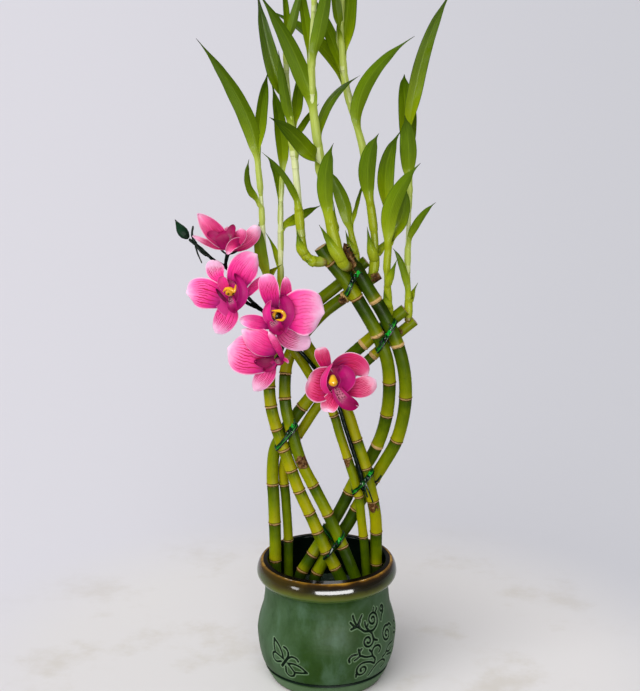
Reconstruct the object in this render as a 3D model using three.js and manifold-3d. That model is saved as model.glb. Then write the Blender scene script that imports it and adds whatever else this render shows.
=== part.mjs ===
// A lucky bamboo in its pot: eight canes woven in pairs, each with a leafy shoot at its top,
// standing in pebbles and water in a round glazed pot. Green ties hold five crossings, and a
// spray of five orchid blooms on a green wire stem is tucked into one of them.
// Millimetres, +Z up. The origin is the middle of the pot's underside. The front faces -Y.

import * as THREE from 'three';
import { mergeVertices } from 'three/addons/utils/BufferGeometryUtils.js';
import Module from 'manifold-3d';

const wasm = await Module();
wasm.setup();

// Driving dimensions
const clearance = 0.3;
const sleeveClearance = 0.4;
const fillClearance = 0.42;
const potTurns = 26;
const potFloor = 7;
const waterLevel = 76;
const pebbleLevel = 60;
const pebbleRelief = 1.6;
const pebbleSpacingX = 3.3;
const pebbleSpacingY = 3.9;
const caneFoot = 20;
const caneSides = 7;
const caneStep = 24;
const ringRise = 0.7;
const ringLength = 2.5;
const leafThickness = 0.9;
const leafFold = 0.22;
const petalThickness = 1;
const tieWidth = 4;
const tieThickness = 1.2;
const tieClimb = 0.45;
const tieSteps = 26;
const wireRadius = 2;
const wireSteps = 18;
const stalkRadius = 1.2;
const stalkSteps = 3;
const budRadius = 5;
const coreRadius = 4;
const clawStart = 3.2;
const columnRadius = 2.5;
const columnLength = 8;

const group = new THREE.Group();

// Finishes
const finishes = {
  glaze: { color: 0x4e6b45, roughness: 0.12, metalness: 0 },
  pebble: { color: 0x8d8a80, roughness: 0.6, metalness: 0 },
  water: { color: 0xc9d8d2, roughness: 0.02, metalness: 0 },
  cane: { color: 0x7f9410, roughness: 0.4, metalness: 0 },
  leaf: { color: 0x3f7a1c, roughness: 0.45, metalness: 0 },
  tie: { color: 0x0e7a1c, roughness: 0.25, metalness: 0 },
  wire: { color: 0x173a1f, roughness: 0.35, metalness: 0 },
  bud: { color: 0x1f4a20, roughness: 0.5, metalness: 0 },
  petal: { color: 0xee6f9c, roughness: 0.6, metalness: 0 },
  lip: { color: 0xa3145f, roughness: 0.5, metalness: 0 },
  column: { color: 0xe0a020, roughness: 0.5, metalness: 0 },
};

function add(name, solid, finish) {
  const { numProp, vertProperties, triVerts } = solid.getMesh();
  const geometry = new THREE.BufferGeometry();
  geometry.setAttribute('position', new THREE.BufferAttribute(vertProperties, numProp));
  geometry.setIndex(new THREE.BufferAttribute(triVerts, 1));
  const mesh = new THREE.Mesh(geometry, new THREE.MeshStandardMaterial(finishes[finish]));
  mesh.name = name;
  group.add(mesh);
}

// Solids

const point = (xyz) => new THREE.Vector3(...xyz);
const curveThrough = (points) => new THREE.CatmullRomCurve3(points.map(point));
const mix = THREE.MathUtils.lerp;

// A closed geometry as a solid that can be joined and cut.
function solidOf(geometry) {
  geometry.deleteAttribute('normal');
  geometry.deleteAttribute('uv');
  const merged = mergeVertices(geometry, 1e-4);
  const index = merged.index.array;
  const faces = [];
  for (let i = 0; i < index.length; i += 3) {
    const [a, b, c] = index.slice(i, i + 3);
    if (a !== b && b !== c && c !== a) faces.push(a, b, c);
  }
  return new wasm.Manifold(new wasm.Mesh({
    numProp: 3,
    vertProperties: new Float32Array(merged.attributes.position.array),
    triVerts: new Uint32Array(faces),
  }));
}

const join = (solids) => solids.reduce((whole, solid) => whole.add(solid));
const cut = (solid, tools) => tools.reduce((rest, tool) => rest.subtract(tool), solid);

// A profile of [radius, height] points turned about the vertical axis.
function turned(profile) {
  const points = profile.map(([radius, height]) => new THREE.Vector2(radius, height));
  const geometry = new THREE.LatheGeometry(points, potTurns);
  geometry.rotateX(Math.PI / 2);
  return geometry;
}

// A round rod along a curve, with a radius at each of its places along the curve from 0 to 1.
function rod(curve, places, radiusAt, sides) {
  const steps = places.length - 1;
  const geometry = new THREE.CylinderGeometry(1, 1, 1, sides, steps);
  const position = geometry.attributes.position;
  const span = curve.getPointAt(1).sub(curve.getPointAt(0));
  const upright = Math.abs(span.y) < Math.max(Math.abs(span.x), Math.abs(span.z));
  const reference = upright ? new THREE.Vector3(0, 1, 0) : new THREE.Vector3(1, 0, 0);
  for (let i = 0; i < position.count; i += 1) {
    const place = places[Math.round((position.getY(i) + 0.5) * steps)];
    const along = curve.getTangentAt(place);
    const side = new THREE.Vector3().crossVectors(along, reference).normalize();
    const front = new THREE.Vector3().crossVectors(side, along);
    const vertex = curve.getPointAt(place);
    vertex.addScaledVector(side, position.getX(i) * radiusAt(place));
    vertex.addScaledVector(front, position.getZ(i) * radiusAt(place));
    position.setXYZ(i, ...vertex);
  }
  return solidOf(geometry);
}

const evenPlaces = (steps) => Array.from({ length: steps + 1 }, (_, i) => i / steps);

// A rod that narrows evenly from one radius to another.
function taper(points, startRadius, endRadius, steps, sides = 6) {
  return rod(curveThrough(points), evenPlaces(steps), (t) => mix(startRadius, endRadius, t), sides);
}

// A closed sheet. shapeAt(across, along) gives the middle of the sheet and its facing, with
// across from -1 to 1 and along from 0 to 1. Both faces are split into triangles alike.
function sheet(columns, rows, thickness, shapeAt) {
  const grid = new THREE.PlaneGeometry(2, 1, columns, rows);
  const places = grid.attributes.position;
  const count = places.count;
  const vertices = new Float32Array(count * 6);
  for (let i = 0; i < count; i += 1) {
    const { middle, facing } = shapeAt(places.getX(i), 0.5 - places.getY(i));
    const half = facing.clone().multiplyScalar(thickness / 2);
    middle.clone().add(half).toArray(vertices, i * 3);
    middle.clone().sub(half).toArray(vertices, (count + i) * 3);
  }
  const faces = [];
  const index = grid.index.array;
  for (let i = 0; i < index.length; i += 3) {
    const [a, b, c] = index.slice(i, i + 3);
    faces.push(a, b, c, count + a, count + c, count + b);
  }
  const rim = [];
  for (let row = 0; row < rows; row += 1) rim.push(row * (columns + 1));
  for (let column = 0; column < columns; column += 1) rim.push(rows * (columns + 1) + column);
  for (let row = rows; row > 0; row -= 1) rim.push(row * (columns + 1) + columns);
  for (let column = columns; column > 0; column -= 1) rim.push(column);
  rim.forEach((a, i) => {
    const b = rim[(i + 1) % rim.length];
    faces.push(a, count + a, count + b, a, count + b, b);
  });
  const geometry = new THREE.BufferGeometry();
  geometry.setAttribute('position', new THREE.BufferAttribute(vertices, 3));
  geometry.setIndex(faces);
  return solidOf(geometry);
}

// Pot: a turned body with a narrow neck, a rolled rim and a groove round its foot.
const potOutside = [
  [50.5, 0], [58.4, 13.6], [57.6, 15], [59.4, 16.4], [63, 29], [65, 48], [64.6, 62], [62.4, 77],
  [58.8, 90], [58, 96], [61.8, 102], [64.5, 109], [63.6, 115], [61, 118],
];
const potInside = [
  [56.8, 117], [55.2, 110], [55.2, 95], [59.6, 78], [62, 52], [58, 22], [46, potFloor],
];
const pot = turned([[0, 0], ...potOutside, ...potInside, [0, potFloor]]);
add('pot', solidOf(pot), 'glaze');

// The radius of the filling at a height, just clear of the pot's inner wall.
function fillRadius(height) {
  const above = potInside.findLast(([, z]) => z >= height);
  const below = potInside.find(([, z]) => z <= height);
  const share = above[1] === below[1] ? 0 : (height - below[1]) / (above[1] - below[1]);
  return mix(below[0], above[0], share) - fillClearance;
}

// Canes: [radius at the foot, radius at the top], the heights of the node rings, and the middle
// line from the foot, chosen by hand. Each pair crosses in front of one pair and behind the next.
const canes = {
  cane_a: {
    radii: [5.5, 5.5],
    rings: [113, 150, 188, 262, 321],
    line: [[-40, 4, caneFoot], [-45, 4, 60], [-48, 4, 98], [-48, 4, 133], [-49, 5, 172], [-50, 6, 201],
      [-47, 6, 224], [-37, 6, 241], [-22, 6, 263], [-2, 6, 288], [20, 6, 310], [39, 6, 327],
      [58, 6, 344], [70, 6, 354]],
  },
  cane_b: {
    radii: [4.2, 4.6],
    rings: [129, 186, 234, 310],
    line: [[-30, 16, caneFoot], [-34, 14, 60], [-36, 13, 95], [-36, 12, 130], [-38, 10, 171], [-40, 9, 204],
      [-34, 9, 222], [-22, 9, 241], [-5, 9, 267], [13, 9, 285], [33, 9, 302], [52, 9, 320],
      [67, 9, 333], [79, 9, 343]],
  },
  cane_c: {
    radii: [5.2, 6.1],
    rings: [118, 179, 225, 257, 289, 334, 368, 400],
    line: [[-22, 0, caneFoot], [-25, 1, 60], [-25, 2, 97], [-16, 4, 114], [-5, 6, 132], [6, 7, 150],
      [16, 7, 169], [27, 7, 193], [41, 8, 214], [50, 4, 237], [55, -1, 263], [56, -5, 290], [53, -8, 313],
      [44, -8, 336], [29, -8, 363], [14, -8, 387], [0, -8, 405], [-6, -8, 414]],
  },
  cane_d: {
    radii: [5.5, 6],
    rings: [98, 162, 192, 231, 274, 324, 365],
    line: [[-6, 6, caneFoot], [-9, 5, 60], [-11, 4, 94], [-2, 6, 113], [9, 8, 131], [20, 8, 148],
      [31, 8, 170], [41, 8, 188], [52, 7, 207], [63, 4, 229], [69, 1, 253], [71, -2, 276], [69, -5, 301],
      [62, -6, 327], [50, -6, 353], [35, -6, 378], [23, -6, 400], [16, -6, 414]],
  },
  cane_e: {
    radii: [5.8, 5.1],
    rings: [111, 127, 144, 164, 186, 206, 226, 246, 267, 284],
    line: [[20, -16, caneFoot], [19, -14, 60], [16, -11, 92], [7, -9, 113], [-2, -8, 131], [-14, -7, 160],
      [-26, -7, 188], [-36, -7, 217], [-44, -7, 241], [-50, -7, 265], [-52, -3, 286], [-50, 2, 306],
      [-41, 5, 326], [-26, 7, 346], [-7, 8, 364], [10, 8, 378], [22, 8, 388], [31, 8, 396]],
  },
  cane_f: {
    radii: [5.2, 5.4],
    rings: [132, 164, 192, 245, 274, 296, 368],
    line: [[33, -14, caneFoot], [32, -14, 60], [29, -12, 94], [22, -10, 114], [13, -9, 136], [1, -9, 164],
      [-12, -9, 191], [-23, -9, 214], [-31, -8, 241], [-37, -6, 265], [-38, -2, 286], [-36, 2, 305],
      [-30, 4, 319], [-16, 6, 336], [-2, 6, 350], [18, 6, 364], [30, 6, 374], [43, 6, 385]],
  },
  cane_g: {
    radii: [5.5, 5.5],
    rings: [141, 172, 208, 235],
    line: [[40, 10, caneFoot], [44, 9, 60], [46, 8, 95], [46, 4, 125], [45, -3, 158], [40, -7, 187],
      [34, -7, 212], [26, -7, 237], [18, -7, 262], [6, -7, 285], [-12, -7, 314], [-26, -7, 337],
      [-37, -7, 357], [-41, -7, 364]],
  },
  cane_h: {
    radii: [4.1, 4.2],
    rings: [136, 181, 218, 259],
    line: [[34, 2, caneFoot], [36, 2, 60], [37, 1, 98], [35, -2, 128], [32, -6, 156], [29, -8, 182],
      [21, -8, 211], [12, -8, 240], [5, -8, 263], [-6, -8, 281], [-23, -8, 310], [-37, -8, 331],
      [-50, -8, 351], [-54, -8, 359]],
  },
};

// The place from 0 to 1 where a rising curve reaches a height.
function placeAtHeight(curve, height) {
  let low = 0;
  let high = 1;
  for (let halving = 0; halving < 16; halving += 1) {
    const middle = (low + high) / 2;
    if (curve.getPointAt(middle).z < height) low = middle;
    else high = middle;
  }
  return low;
}

// A cane, or with a growth its sleeve, which is larger all round by that much.
function caneSolid({ radii, rings, line }, growth) {
  const foot = [line[0][0], line[0][1], line[0][2] - growth];
  const [topX, topY, topZ] = line[line.length - 1];
  const curve = curveThrough([foot, ...line.slice(1, -1), [topX, topY, topZ + growth]]);
  const length = curve.getLength();
  const ringPlaces = rings.map((height) => placeAtHeight(curve, height));
  const marks = [0, 1, ...ringPlaces, ...ringPlaces.map((ring) => ring + ringLength / length)];
  marks.sort((a, b) => a - b);
  const places = [0];
  for (const mark of marks.slice(1)) {
    const last = places[places.length - 1];
    const parts = Math.ceil(((mark - last) * length) / caneStep);
    for (let part = 1; part <= parts; part += 1) places.push(mix(last, mark, part / parts));
  }
  const radiusAt = (place) => {
    const rise = ringPlaces.includes(place) ? ringRise : 0;
    return mix(...radii, place) + rise + growth;
  };
  return rod(curve, places, radiusAt, caneSides);
}

const sleeveOf = {};
for (const [name, cane] of Object.entries(canes)) {
  sleeveOf[name] = caneSolid(cane, sleeveClearance);
  add(name, caneSolid(cane, 0), 'cane');
}
const sleeves = Object.values(sleeveOf);

// Pebbles: the bed that holds the canes, with a bumpy top, and a plain hole for each cane.
const pebbleRings = [46, 31, 16];
const bedFloor = potFloor + clearance;
const bedShoulder = pebbleLevel - 2;
const bedTop = pebbleLevel - pebbleRelief;
const bed = turned([
  [0, bedFloor], [fillRadius(bedFloor) - 1, bedFloor], [fillRadius(22), 22], [fillRadius(52), 52],
  [fillRadius(bedShoulder), bedShoulder], ...pebbleRings.map((radius) => [radius, bedTop]), [0, bedTop],
]);
const bedPoints = bed.attributes.position;
for (let i = 0; i < bedPoints.count; i += 1) {
  const [x, y, z] = [bedPoints.getX(i), bedPoints.getY(i), bedPoints.getZ(i)];
  const relief = pebbleRelief * Math.sin(x / pebbleSpacingX) * Math.sin(y / pebbleSpacingY + x / 9);
  if (z > bedShoulder && Math.hypot(x, y) > 1) bedPoints.setZ(i, z + relief);
}
add('pebbles', cut(solidOf(bed), sleeves), 'pebble');

// Water: it stands over the pebbles, with a plain hole for each cane.
const waterFloor = pebbleLevel + clearance;
const water = turned([
  [0, waterFloor], [fillRadius(waterFloor), waterFloor], [fillRadius(waterLevel), waterLevel],
  [0, waterLevel],
]);
add('water', cut(solidOf(water), sleeves), 'water');

// Leaves and shoots

// Half the width of a strap leaf: a narrow clasping base, widest past a third, and a fine tip.
function leafOutline(along) {
  const widest = 0.42;
  if (along < widest) return mix(0.34, 1, Math.sin((along / widest) * Math.PI / 2));
  return Math.max(0.04, 1 - ((along - widest) / (1 - widest)) ** 1.9);
}

// A folded leaf from a root through a bend to a tip, turned about its length in degrees.
function leaf(root, bend, tip, width, turn) {
  const control = bend.clone().multiplyScalar(2).addScaledVector(root, -0.5).addScaledVector(tip, -0.5);
  const rib = new THREE.QuadraticBezierCurve3(root, control, tip);
  const chord = tip.clone().sub(root).normalize();
  const look = new THREE.Vector3(0, -0.85, 0.5).applyAxisAngle(chord, THREE.MathUtils.degToRad(turn));
  const rows = width < 10 ? 3 : 4;
  return sheet(2, rows, leafThickness, (across, along) => {
    const tangent = rib.getTangent(along);
    const side = new THREE.Vector3().crossVectors(look, tangent).normalize();
    const facing = new THREE.Vector3().crossVectors(tangent, side);
    const reach = (width / 2) * leafOutline(along);
    const middle = rib.getPoint(along).addScaledVector(side, across * reach);
    middle.addScaledVector(facing, Math.abs(across) * reach * leafFold * 2);
    return { middle, facing };
  });
}

// Each shoot: [radius at the base, radius at the top], the middle line of its stem, and its
// leaves as [height of the root on the stem, bend, tip, width, turn].
const shoots = {
  shoot_a: {
    radii: [3, 1.5],
    stem: [[56, 4, 347], [55, 2, 360], [53, 0, 382], [53, 0, 399], [54, 0, 414], [55, -1, 441],
      [54, -2, 454]],
    leaves: [
      [357, [52, -4, 365], [50, -7, 375], 7, 0],
      [376, [57, -8, 391], [61, -14, 404], 7, 10],
      [410, [57, -13, 454], [79, -30, 491], 15, 5],
      [413, [66, 8, 439], [69, 12, 465], 12, 15],
      [434, [51, 8, 477], [64, 16, 512], 15, 10],
    ],
  },
  shoot_b: {
    radii: [2.8, 1.4],
    stem: [[73, 8, 341], [73, 10, 362], [72, 14, 384], [72, 18, 406], [73, 21, 450], [72, 22, 468],
      [71, 22, 481]],
    leaves: [
      [362, [68, 8, 391], [58, 6, 410], 7, 15],
      [359, [77, 8, 370], [81, 5, 379], 4, 10],
      [407, [80, 12, 432], [95, 0, 452], 7, 10],
      [464, [71, 14, 500], [67, 6, 527], 15, 0],
      [478, [68, 30, 533], [68, 40, 559], 13, 10],
      [480, [80, 16, 566], [106, 2, 634], 13, 5],
      [474, [76, 34, 515], [76, 46, 536], 6, 20],
    ],
  },
  shoot_c: {
    radii: [3.2, 1.3],
    stem: [[0, -9, 402], [-10, -13, 402], [-19, -15, 408], [-22, -14, 420], [-24, -13, 439], [-27, -10, 478],
      [-31, -8, 523], [-35, -6, 571], [-35, -5, 592]],
    leaves: [
      [407, [-24, -18, 418], [-26, -20, 430], 8, 0],
      [446, [-34, -26, 476], [-55, -42, 502], 7, 20],
      [516, [-36, -16, 547], [-41, -26, 585], 9, 10],
      [526, [-47, -12, 574], [-59, -16, 635], 14, 0],
      [514, [-26, 4, 540], [-24, 18, 565], 10, 15],
      [505, [-20, 4, 521], [-7, 18, 536], 6, 30],
      [586, [-35, 2, 612], [-39, 12, 645], 6, 20],
      [588, [-29, -8, 609], [-20, -12, 643], 8, 10],
    ],
  },
  shoot_d: {
    radii: [3.8, 1.6],
    stem: [[19, -9, 393], [13, -17, 401], [7, -18, 419], [3, -18, 435], [-3, -16, 470], [-8, -15, 504],
      [-13, -15, 544], [-14, -15, 568], [-13, -15, 593], [-10, -15, 642]],
    leaves: [
      [408, [1, -25, 420], [-7, -32, 438], 14, 0],
      [436, [-2, -28, 476], [5, -38, 509], 14, 0],
      [428, [6, -6, 441], [5, -2, 455], 4, 40],
      [479, [-24, -32, 511], [-48, -56, 533], 15, -35],
      [527, [-26, -26, 579], [-57, -50, 634], 16, 10],
      [500, [0, -6, 536], [28, -2, 562], 8, 20],
      [572, [-19, -6, 609], [-27, 8, 657], 9, 15],
      [569, [-5, -24, 610], [4, -36, 658], 12, 10],
      [638, [-9, -15, 666], [-5, -12, 702], 9, 20],
    ],
  },
  shoot_e: {
    radii: [2.8, 1.6],
    stem: [[27, 8, 391], [25, 9, 405], [22, 10, 418], [20, 10, 427]],
    leaves: [
      [404, [20, 4, 414], [16, 1, 427], 7, 0],
      [420, [14, 8, 453], [0, 4, 482], 13, 10],
      [423, [26, 18, 448], [33, 26, 466], 5, 50],
    ],
  },
  shoot_f: {
    radii: [3.6, 1.6],
    stem: [[40, 6, 382], [42, 7, 395], [42, 7, 417], [40, 7, 435], [35, 8, 470], [31, 8, 498], [26, 8, 516],
      [21, 8, 533], [17, 8, 548], [14, 8, 566], [12, 8, 608], [13, 8, 633]],
    leaves: [
      [398, [38, 0, 414], [35, -3, 431], 8, 0],
      [403, [50, 11, 412], [55, 15, 421], 5, 20],
      [447, [35, -5, 486], [44, -14, 514], 15, 5],
      [505, [32, -4, 554], [72, -32, 597], 13, 5],
      [547, [-8, 22, 587], [-52, 44, 614], 13, 15],
      [559, [3, 16, 592], [-14, 30, 630], 12, 10],
      [574, [17, 16, 614], [23, 28, 669], 16, 5],
      [587, [7, 2, 620], [2, -8, 666], 9, 20],
      [628, [12, 9, 657], [9, 6, 694], 9, 20],
    ],
  },
  shoot_g: {
    radii: [2.6, 1.5],
    stem: [[-40, -7, 358], [-41, -5, 374], [-41, -1, 399], [-41, 2, 418], [-41, 4, 440], [-40, 5, 462],
      [-39, 6, 478]],
    leaves: [
      [393, [-47, 8, 409], [-55, 18, 422], 6, 20],
      [425, [-27, 16, 435], [-5, 36, 443], 9, 20],
      [446, [-44, 16, 469], [-53, 32, 487], 7, 20],
      [474, [-41, 16, 513], [-49, 34, 553], 12, 15],
    ],
  },
  shoot_h: {
    radii: [2.8, 1.5],
    stem: [[-52, -8, 353], [-52, -9, 380], [-54, -11, 401], [-56, -12, 425], [-57, -12, 452], [-59, -12, 478],
      [-61, -12, 495]],
    leaves: [
      [380, [-58, -17, 413], [-59, -19, 438], 11, 0],
      [387, [-46, -14, 395], [-39, -20, 401], 4, 20],
      [449, [-67, -24, 472], [-66, -40, 496], 7, 30],
      [484, [-71, -20, 536], [-108, -44, 596], 15, 10],
      [487, [-57, -4, 531], [-51, 12, 564], 11, 25],
    ],
  },
};

for (const [name, { radii, stem, leaves }] of Object.entries(shoots)) {
  const curve = curveThrough(stem);
  const steps = Math.round(curve.getLength() / 22);
  const stalk = rod(curve, evenPlaces(steps), (place) => mix(...radii, place), 6);
  const blades = leaves.map(([height, bend, tip, width, turn]) => {
    const root = curve.getPointAt(placeAtHeight(curve, height));
    return leaf(root, point(bend), point(tip), width, turn);
  });
  add(name, cut(join([stalk, ...blades]), sleeves), 'leaf');
}

// Ties: a flat band at each crossing. It climbs over the front pair, passes between the pairs at
// each side and climbs the other way behind. The heights are where it crosses each pair, and a
// bulge lifts it over the wire stem.
const ties = {
  tie_low: { front: ['cane_e', 'cane_f'], back: ['cane_c', 'cane_d'], heights: [138, 132], bulge: 0 },
  tie_left: { front: ['cane_e', 'cane_f'], back: ['cane_a', 'cane_b'], heights: [239, 234], bulge: 0 },
  tie_right: { front: ['cane_h', 'cane_g'], back: ['cane_c', 'cane_d'], heights: [195, 189], bulge: 3.7 },
  tie_upper_right: { front: ['cane_c', 'cane_d'], back: ['cane_a', 'cane_b'], heights: [333, 329], bulge: 0 },
  tie_top: { front: ['cane_c', 'cane_d'], back: ['cane_e', 'cane_f'], heights: [383, 380], bulge: 0 },
};

// The half turn of a band round one pair, from its left cane to its right, with what faces out.
function halfTurn(names, height, front, bulge) {
  const curves = names.map((name) => curveThrough(canes[name].line));
  const places = curves.map((curve) => placeAtHeight(curve, height));
  const middles = curves.map((curve, i) => curve.getPointAt(places[i]));
  const along = curves[0].getTangentAt(places[0]).add(curves[1].getTangentAt(places[1])).setY(0).normalize();
  const across = point([along.z, 0, -along.x]);
  const outward = point([0, front ? -1 : 1, 0]);
  const centre = middles[0].clone().add(middles[1]).divideScalar(2);
  const turns = [[0, 200], [0, 160], [0, 125], [0, 90], [1, 90], [1, 55], [1, 20], [1, -20]];
  const stops = turns.map(([which, degrees]) => {
    const angle = THREE.MathUtils.degToRad(degrees);
    const facing = across.clone().multiplyScalar(Math.cos(angle)).addScaledVector(outward, Math.sin(angle));
    const radius = mix(...canes[names[which]].radii, places[which]) + ringRise + sleeveClearance;
    const middle = middles[which].clone();
    middle.addScaledVector(along, centre.clone().sub(middle).dot(along));
    middle.addScaledVector(facing, radius + tieThickness / 2);
    middle.addScaledVector(along, (front ? 1 : -1) * tieClimb * middle.clone().sub(centre).dot(across));
    return { middle, facing };
  });
  const crown = { middle: stops[3].middle.clone().add(stops[4].middle).divideScalar(2), facing: outward };
  crown.middle.addScaledVector(outward, bulge);
  return [...stops.slice(0, 4), crown, ...stops.slice(4)];
}

function band({ front, back, heights, bulge }) {
  const stops = [
    ...halfTurn(front, heights[0], true, bulge),
    ...halfTurn(back, heights[1], false, 0).reverse(),
  ];
  const inner = new THREE.CatmullRomCurve3(stops.map(({ middle }) => middle), true);
  const outerStops = stops.map(({ middle, facing }) => middle.clone().add(facing));
  const outer = new THREE.CatmullRomCurve3(outerStops, true);
  const geometry = new THREE.TorusGeometry(1, 0.5, 4, tieSteps);
  const position = geometry.attributes.position;
  for (let i = 0; i < position.count; i += 1) {
    const place = ((i % (tieSteps + 1)) / tieSteps) % 1;
    const corner = Math.floor(i / (tieSteps + 1)) * (Math.PI / 2) + Math.PI / 4;
    const vertex = inner.getPoint(place);
    const facing = outer.getPoint(place).sub(vertex).normalize();
    const side = new THREE.Vector3().crossVectors(facing, inner.getTangent(place)).normalize();
    vertex.addScaledVector(facing, Math.sign(Math.cos(corner)) * (tieThickness / 2));
    vertex.addScaledVector(side, Math.sign(Math.sin(corner)) * (tieWidth / 2));
    position.setXYZ(i, ...vertex);
  }
  return solidOf(geometry);
}

for (const [name, tie] of Object.entries(ties)) {
  const near = [...tie.front, ...tie.back].map((cane) => sleeveOf[cane]);
  add(name, cut(band(tie), near), 'tie');
}

// Orchid spray: a wire stem with a stalk for each bloom, a bud at its end and five blooms. Each
// bloom is modelled facing -Y round its middle, then tilted and turned in degrees and placed. Its
// petals are [direction, length, width, lift], with the direction from +X towards +Z in degrees.
const blooms = {
  bloom_1: {
    at: [-85, -31, 416],
    tilt: -62,
    turn: -4,
    stalk: [[-89, -19, 398], [-88, -22, 404]],
    petals: [[176, 41, 19, 42], [205, 32, 18, 20], [2, 31, 17, 32], [40, 24, 14, 36], [100, 30, 18, 26]],
    lip: [16, 10],
  },
  bloom_2: {
    at: [-84, -38, 379],
    tilt: -4,
    turn: -6,
    stalk: [[-58, -15, 359], [-69, -21, 366], [-76, -28, 373]],
    petals: [[182, 37, 28, 12], [55, 38, 26, 10], [250, 33, 24, 8], [118, 33, 21, -8], [15, 26, 18, -8]],
    lip: [30, 22],
  },
  bloom_3: {
    at: [-43, -38, 359],
    tilt: -3,
    turn: 6,
    stalk: [[-46, -14, 345], [-46, -20, 350], [-45, -26, 355]],
    petals: [[1, 39, 40, 10], [107, 36, 26, 14], [190, 31, 18, 16], [310, 37, 29, -6], [74, 33, 15, -8]],
    lip: [33, 22],
  },
  bloom_4: {
    at: [-57, -40, 318],
    tilt: 4,
    turn: -10,
    stalk: [[-34, -14, 332], [-42, -20, 328], [-50, -28, 322]],
    petals: [[162, 33, 35, 10], [106, 33, 26, 18], [48, 25, 13, 24], [265, 26, 19, -4]],
    lip: [19, 10],
  },
  bloom_5: {
    at: [9, -36, 298],
    tilt: 2,
    turn: 8,
    stalk: [[0, -13, 287], [3, -18, 291], [6, -24, 295]],
    petals: [[4, 35, 31, 10], [170, 25, 34, 22], [120, 33, 16, -8], [262, 25, 19, -4]],
    lip: [24, 18],
  },
};

// Half the width of a petal: a narrow claw, widest past the middle, and a round end.
function petalOutline(along) {
  const widest = 0.6;
  if (along < widest) return mix(0.25, 1, Math.sin((along / widest) * Math.PI / 2));
  return Math.sqrt(Math.max(0.03, 1 - ((along - widest) / (1 - widest)) ** 2));
}

function petal([direction, length, width, lift]) {
  const angle = THREE.MathUtils.degToRad(direction);
  const slope = THREE.MathUtils.degToRad(lift);
  const outward = point([Math.cos(angle), 0, Math.sin(angle)]);
  const side = point([Math.sin(angle), 0, -Math.cos(angle)]);
  const tangent = outward.clone().multiplyScalar(Math.cos(slope)).add(point([0, -Math.sin(slope), 0]));
  const facing = new THREE.Vector3().crossVectors(tangent, side);
  return sheet(2, 4, petalThickness, (across, along) => {
    const reach = (width / 2) * petalOutline(along);
    const middle = tangent.clone().multiplyScalar(mix(clawStart, length, along));
    middle.addScaledVector(side, across * reach);
    middle.addScaledVector(facing, 0.12 * width * across * across * along);
    return { middle, facing };
  });
}

// A lip: a dish in front of the petals, with two low side lobes and a pointed lower lobe.
function lipSheet([length, width]) {
  const facing = point([0, -1, 0]);
  return sheet(4, 4, petalThickness, (across, along) => {
    const outline = Math.sin(Math.PI * mix(0.2, 0.93, along)) * (along < 0.3 ? 0.8 : 1);
    const forward = coreRadius - 0.3 + 2.6 * across * across + 5 * along * along;
    const middle = point([across * (width / 2) * outline, -forward, mix(0.3, -0.7, along) * length]);
    return { middle, facing };
  });
}

const core = (growth) => solidOf(new THREE.SphereGeometry(coreRadius + growth, 6, 4));

function columnSolid(growth) {
  const start = [0, -1 + growth, 0];
  const end = [0, -(coreRadius + columnLength + growth), 1];
  return taper([start, end], columnRadius + growth, columnRadius * 0.8 + growth, 2);
}

const stemLine = [
  [33, -14, 189], [32, -14, 199], [22, -14, 232], [16, -14, 251], [10, -14, 270], [-11, -14, 305],
  [-27, -14, 324], [-46, -14, 345], [-57, -15, 358], [-68, -17, 369], [-78, -19, 384], [-88, -20, 398],
  [-99, -20, 405], [-110, -19, 415], [-120, -18, 423],
];
const twigs = [
  [[-114, -19, 418], [-117, -20, 427], [-116, -20, 435]],
  [[-104, -19.5, 409], [-109, -21, 412], [-115, -22, 421]],
];
const stalks = [];
for (const [name, { at, tilt, turn, stalk, petals, lip }] of Object.entries(blooms)) {
  const holder = new THREE.Object3D();
  holder.position.set(...at);
  holder.rotation.set(THREE.MathUtils.degToRad(tilt), 0, THREE.MathUtils.degToRad(turn), 'ZYX');
  holder.updateMatrix();
  const place = (solid) => solid.transform(holder.matrix.elements);
  const petalsSolid = join([core(0), ...petals.map(petal)]);
  add(`${name}_petals`, place(cut(petalsSolid, [columnSolid(clearance)])), 'petal');
  add(`${name}_lip`, place(cut(lipSheet(lip), [core(clearance), columnSolid(clearance)])), 'lip');
  add(`${name}_column`, place(columnSolid(0)), 'column');
  const calyx = point([0, coreRadius - 1, 0]).applyMatrix4(holder.matrix);
  const bloomStalk = taper([...stalk, calyx.toArray()], stalkRadius, stalkRadius * 2, stalkSteps, 5);
  stalks.push(cut(bloomStalk, [place(core(clearance))]));
}

const wireStem = taper(stemLine, wireRadius, wireRadius * 0.7, wireSteps);
const twigSolids = twigs.map((line) => taper(line, stalkRadius, stalkRadius * 0.7, stalkSteps, 5));
add('orchid_stem', join([wireStem, ...stalks, ...twigSolids]), 'wire');

// The bud: an egg on the end of the wire stem, just clear of it.
const budCurve = curveThrough([[-120.4, -18, 423.4], [-126, -17, 430], [-132, -16, 440]]);
const eggOutline = (along) => mix(0.24, 1, Math.sin(Math.PI * mix(0.1, 0.95, along)) ** 0.8);
add('orchid_bud', rod(budCurve, evenPlaces(5), (along) => budRadius * eggOutline(along), 7), 'bud');

export default group;
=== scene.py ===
# A lucky bamboo arrangement in its pot: eight canes woven in pairs, a leafy shoot at the top of
# each, five green ties and a spray of five orchid blooms. Blender works in metres. Lists of places
# and sizes are in millimetres, as they would be measured, and mm turns them into metres.

import math

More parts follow.
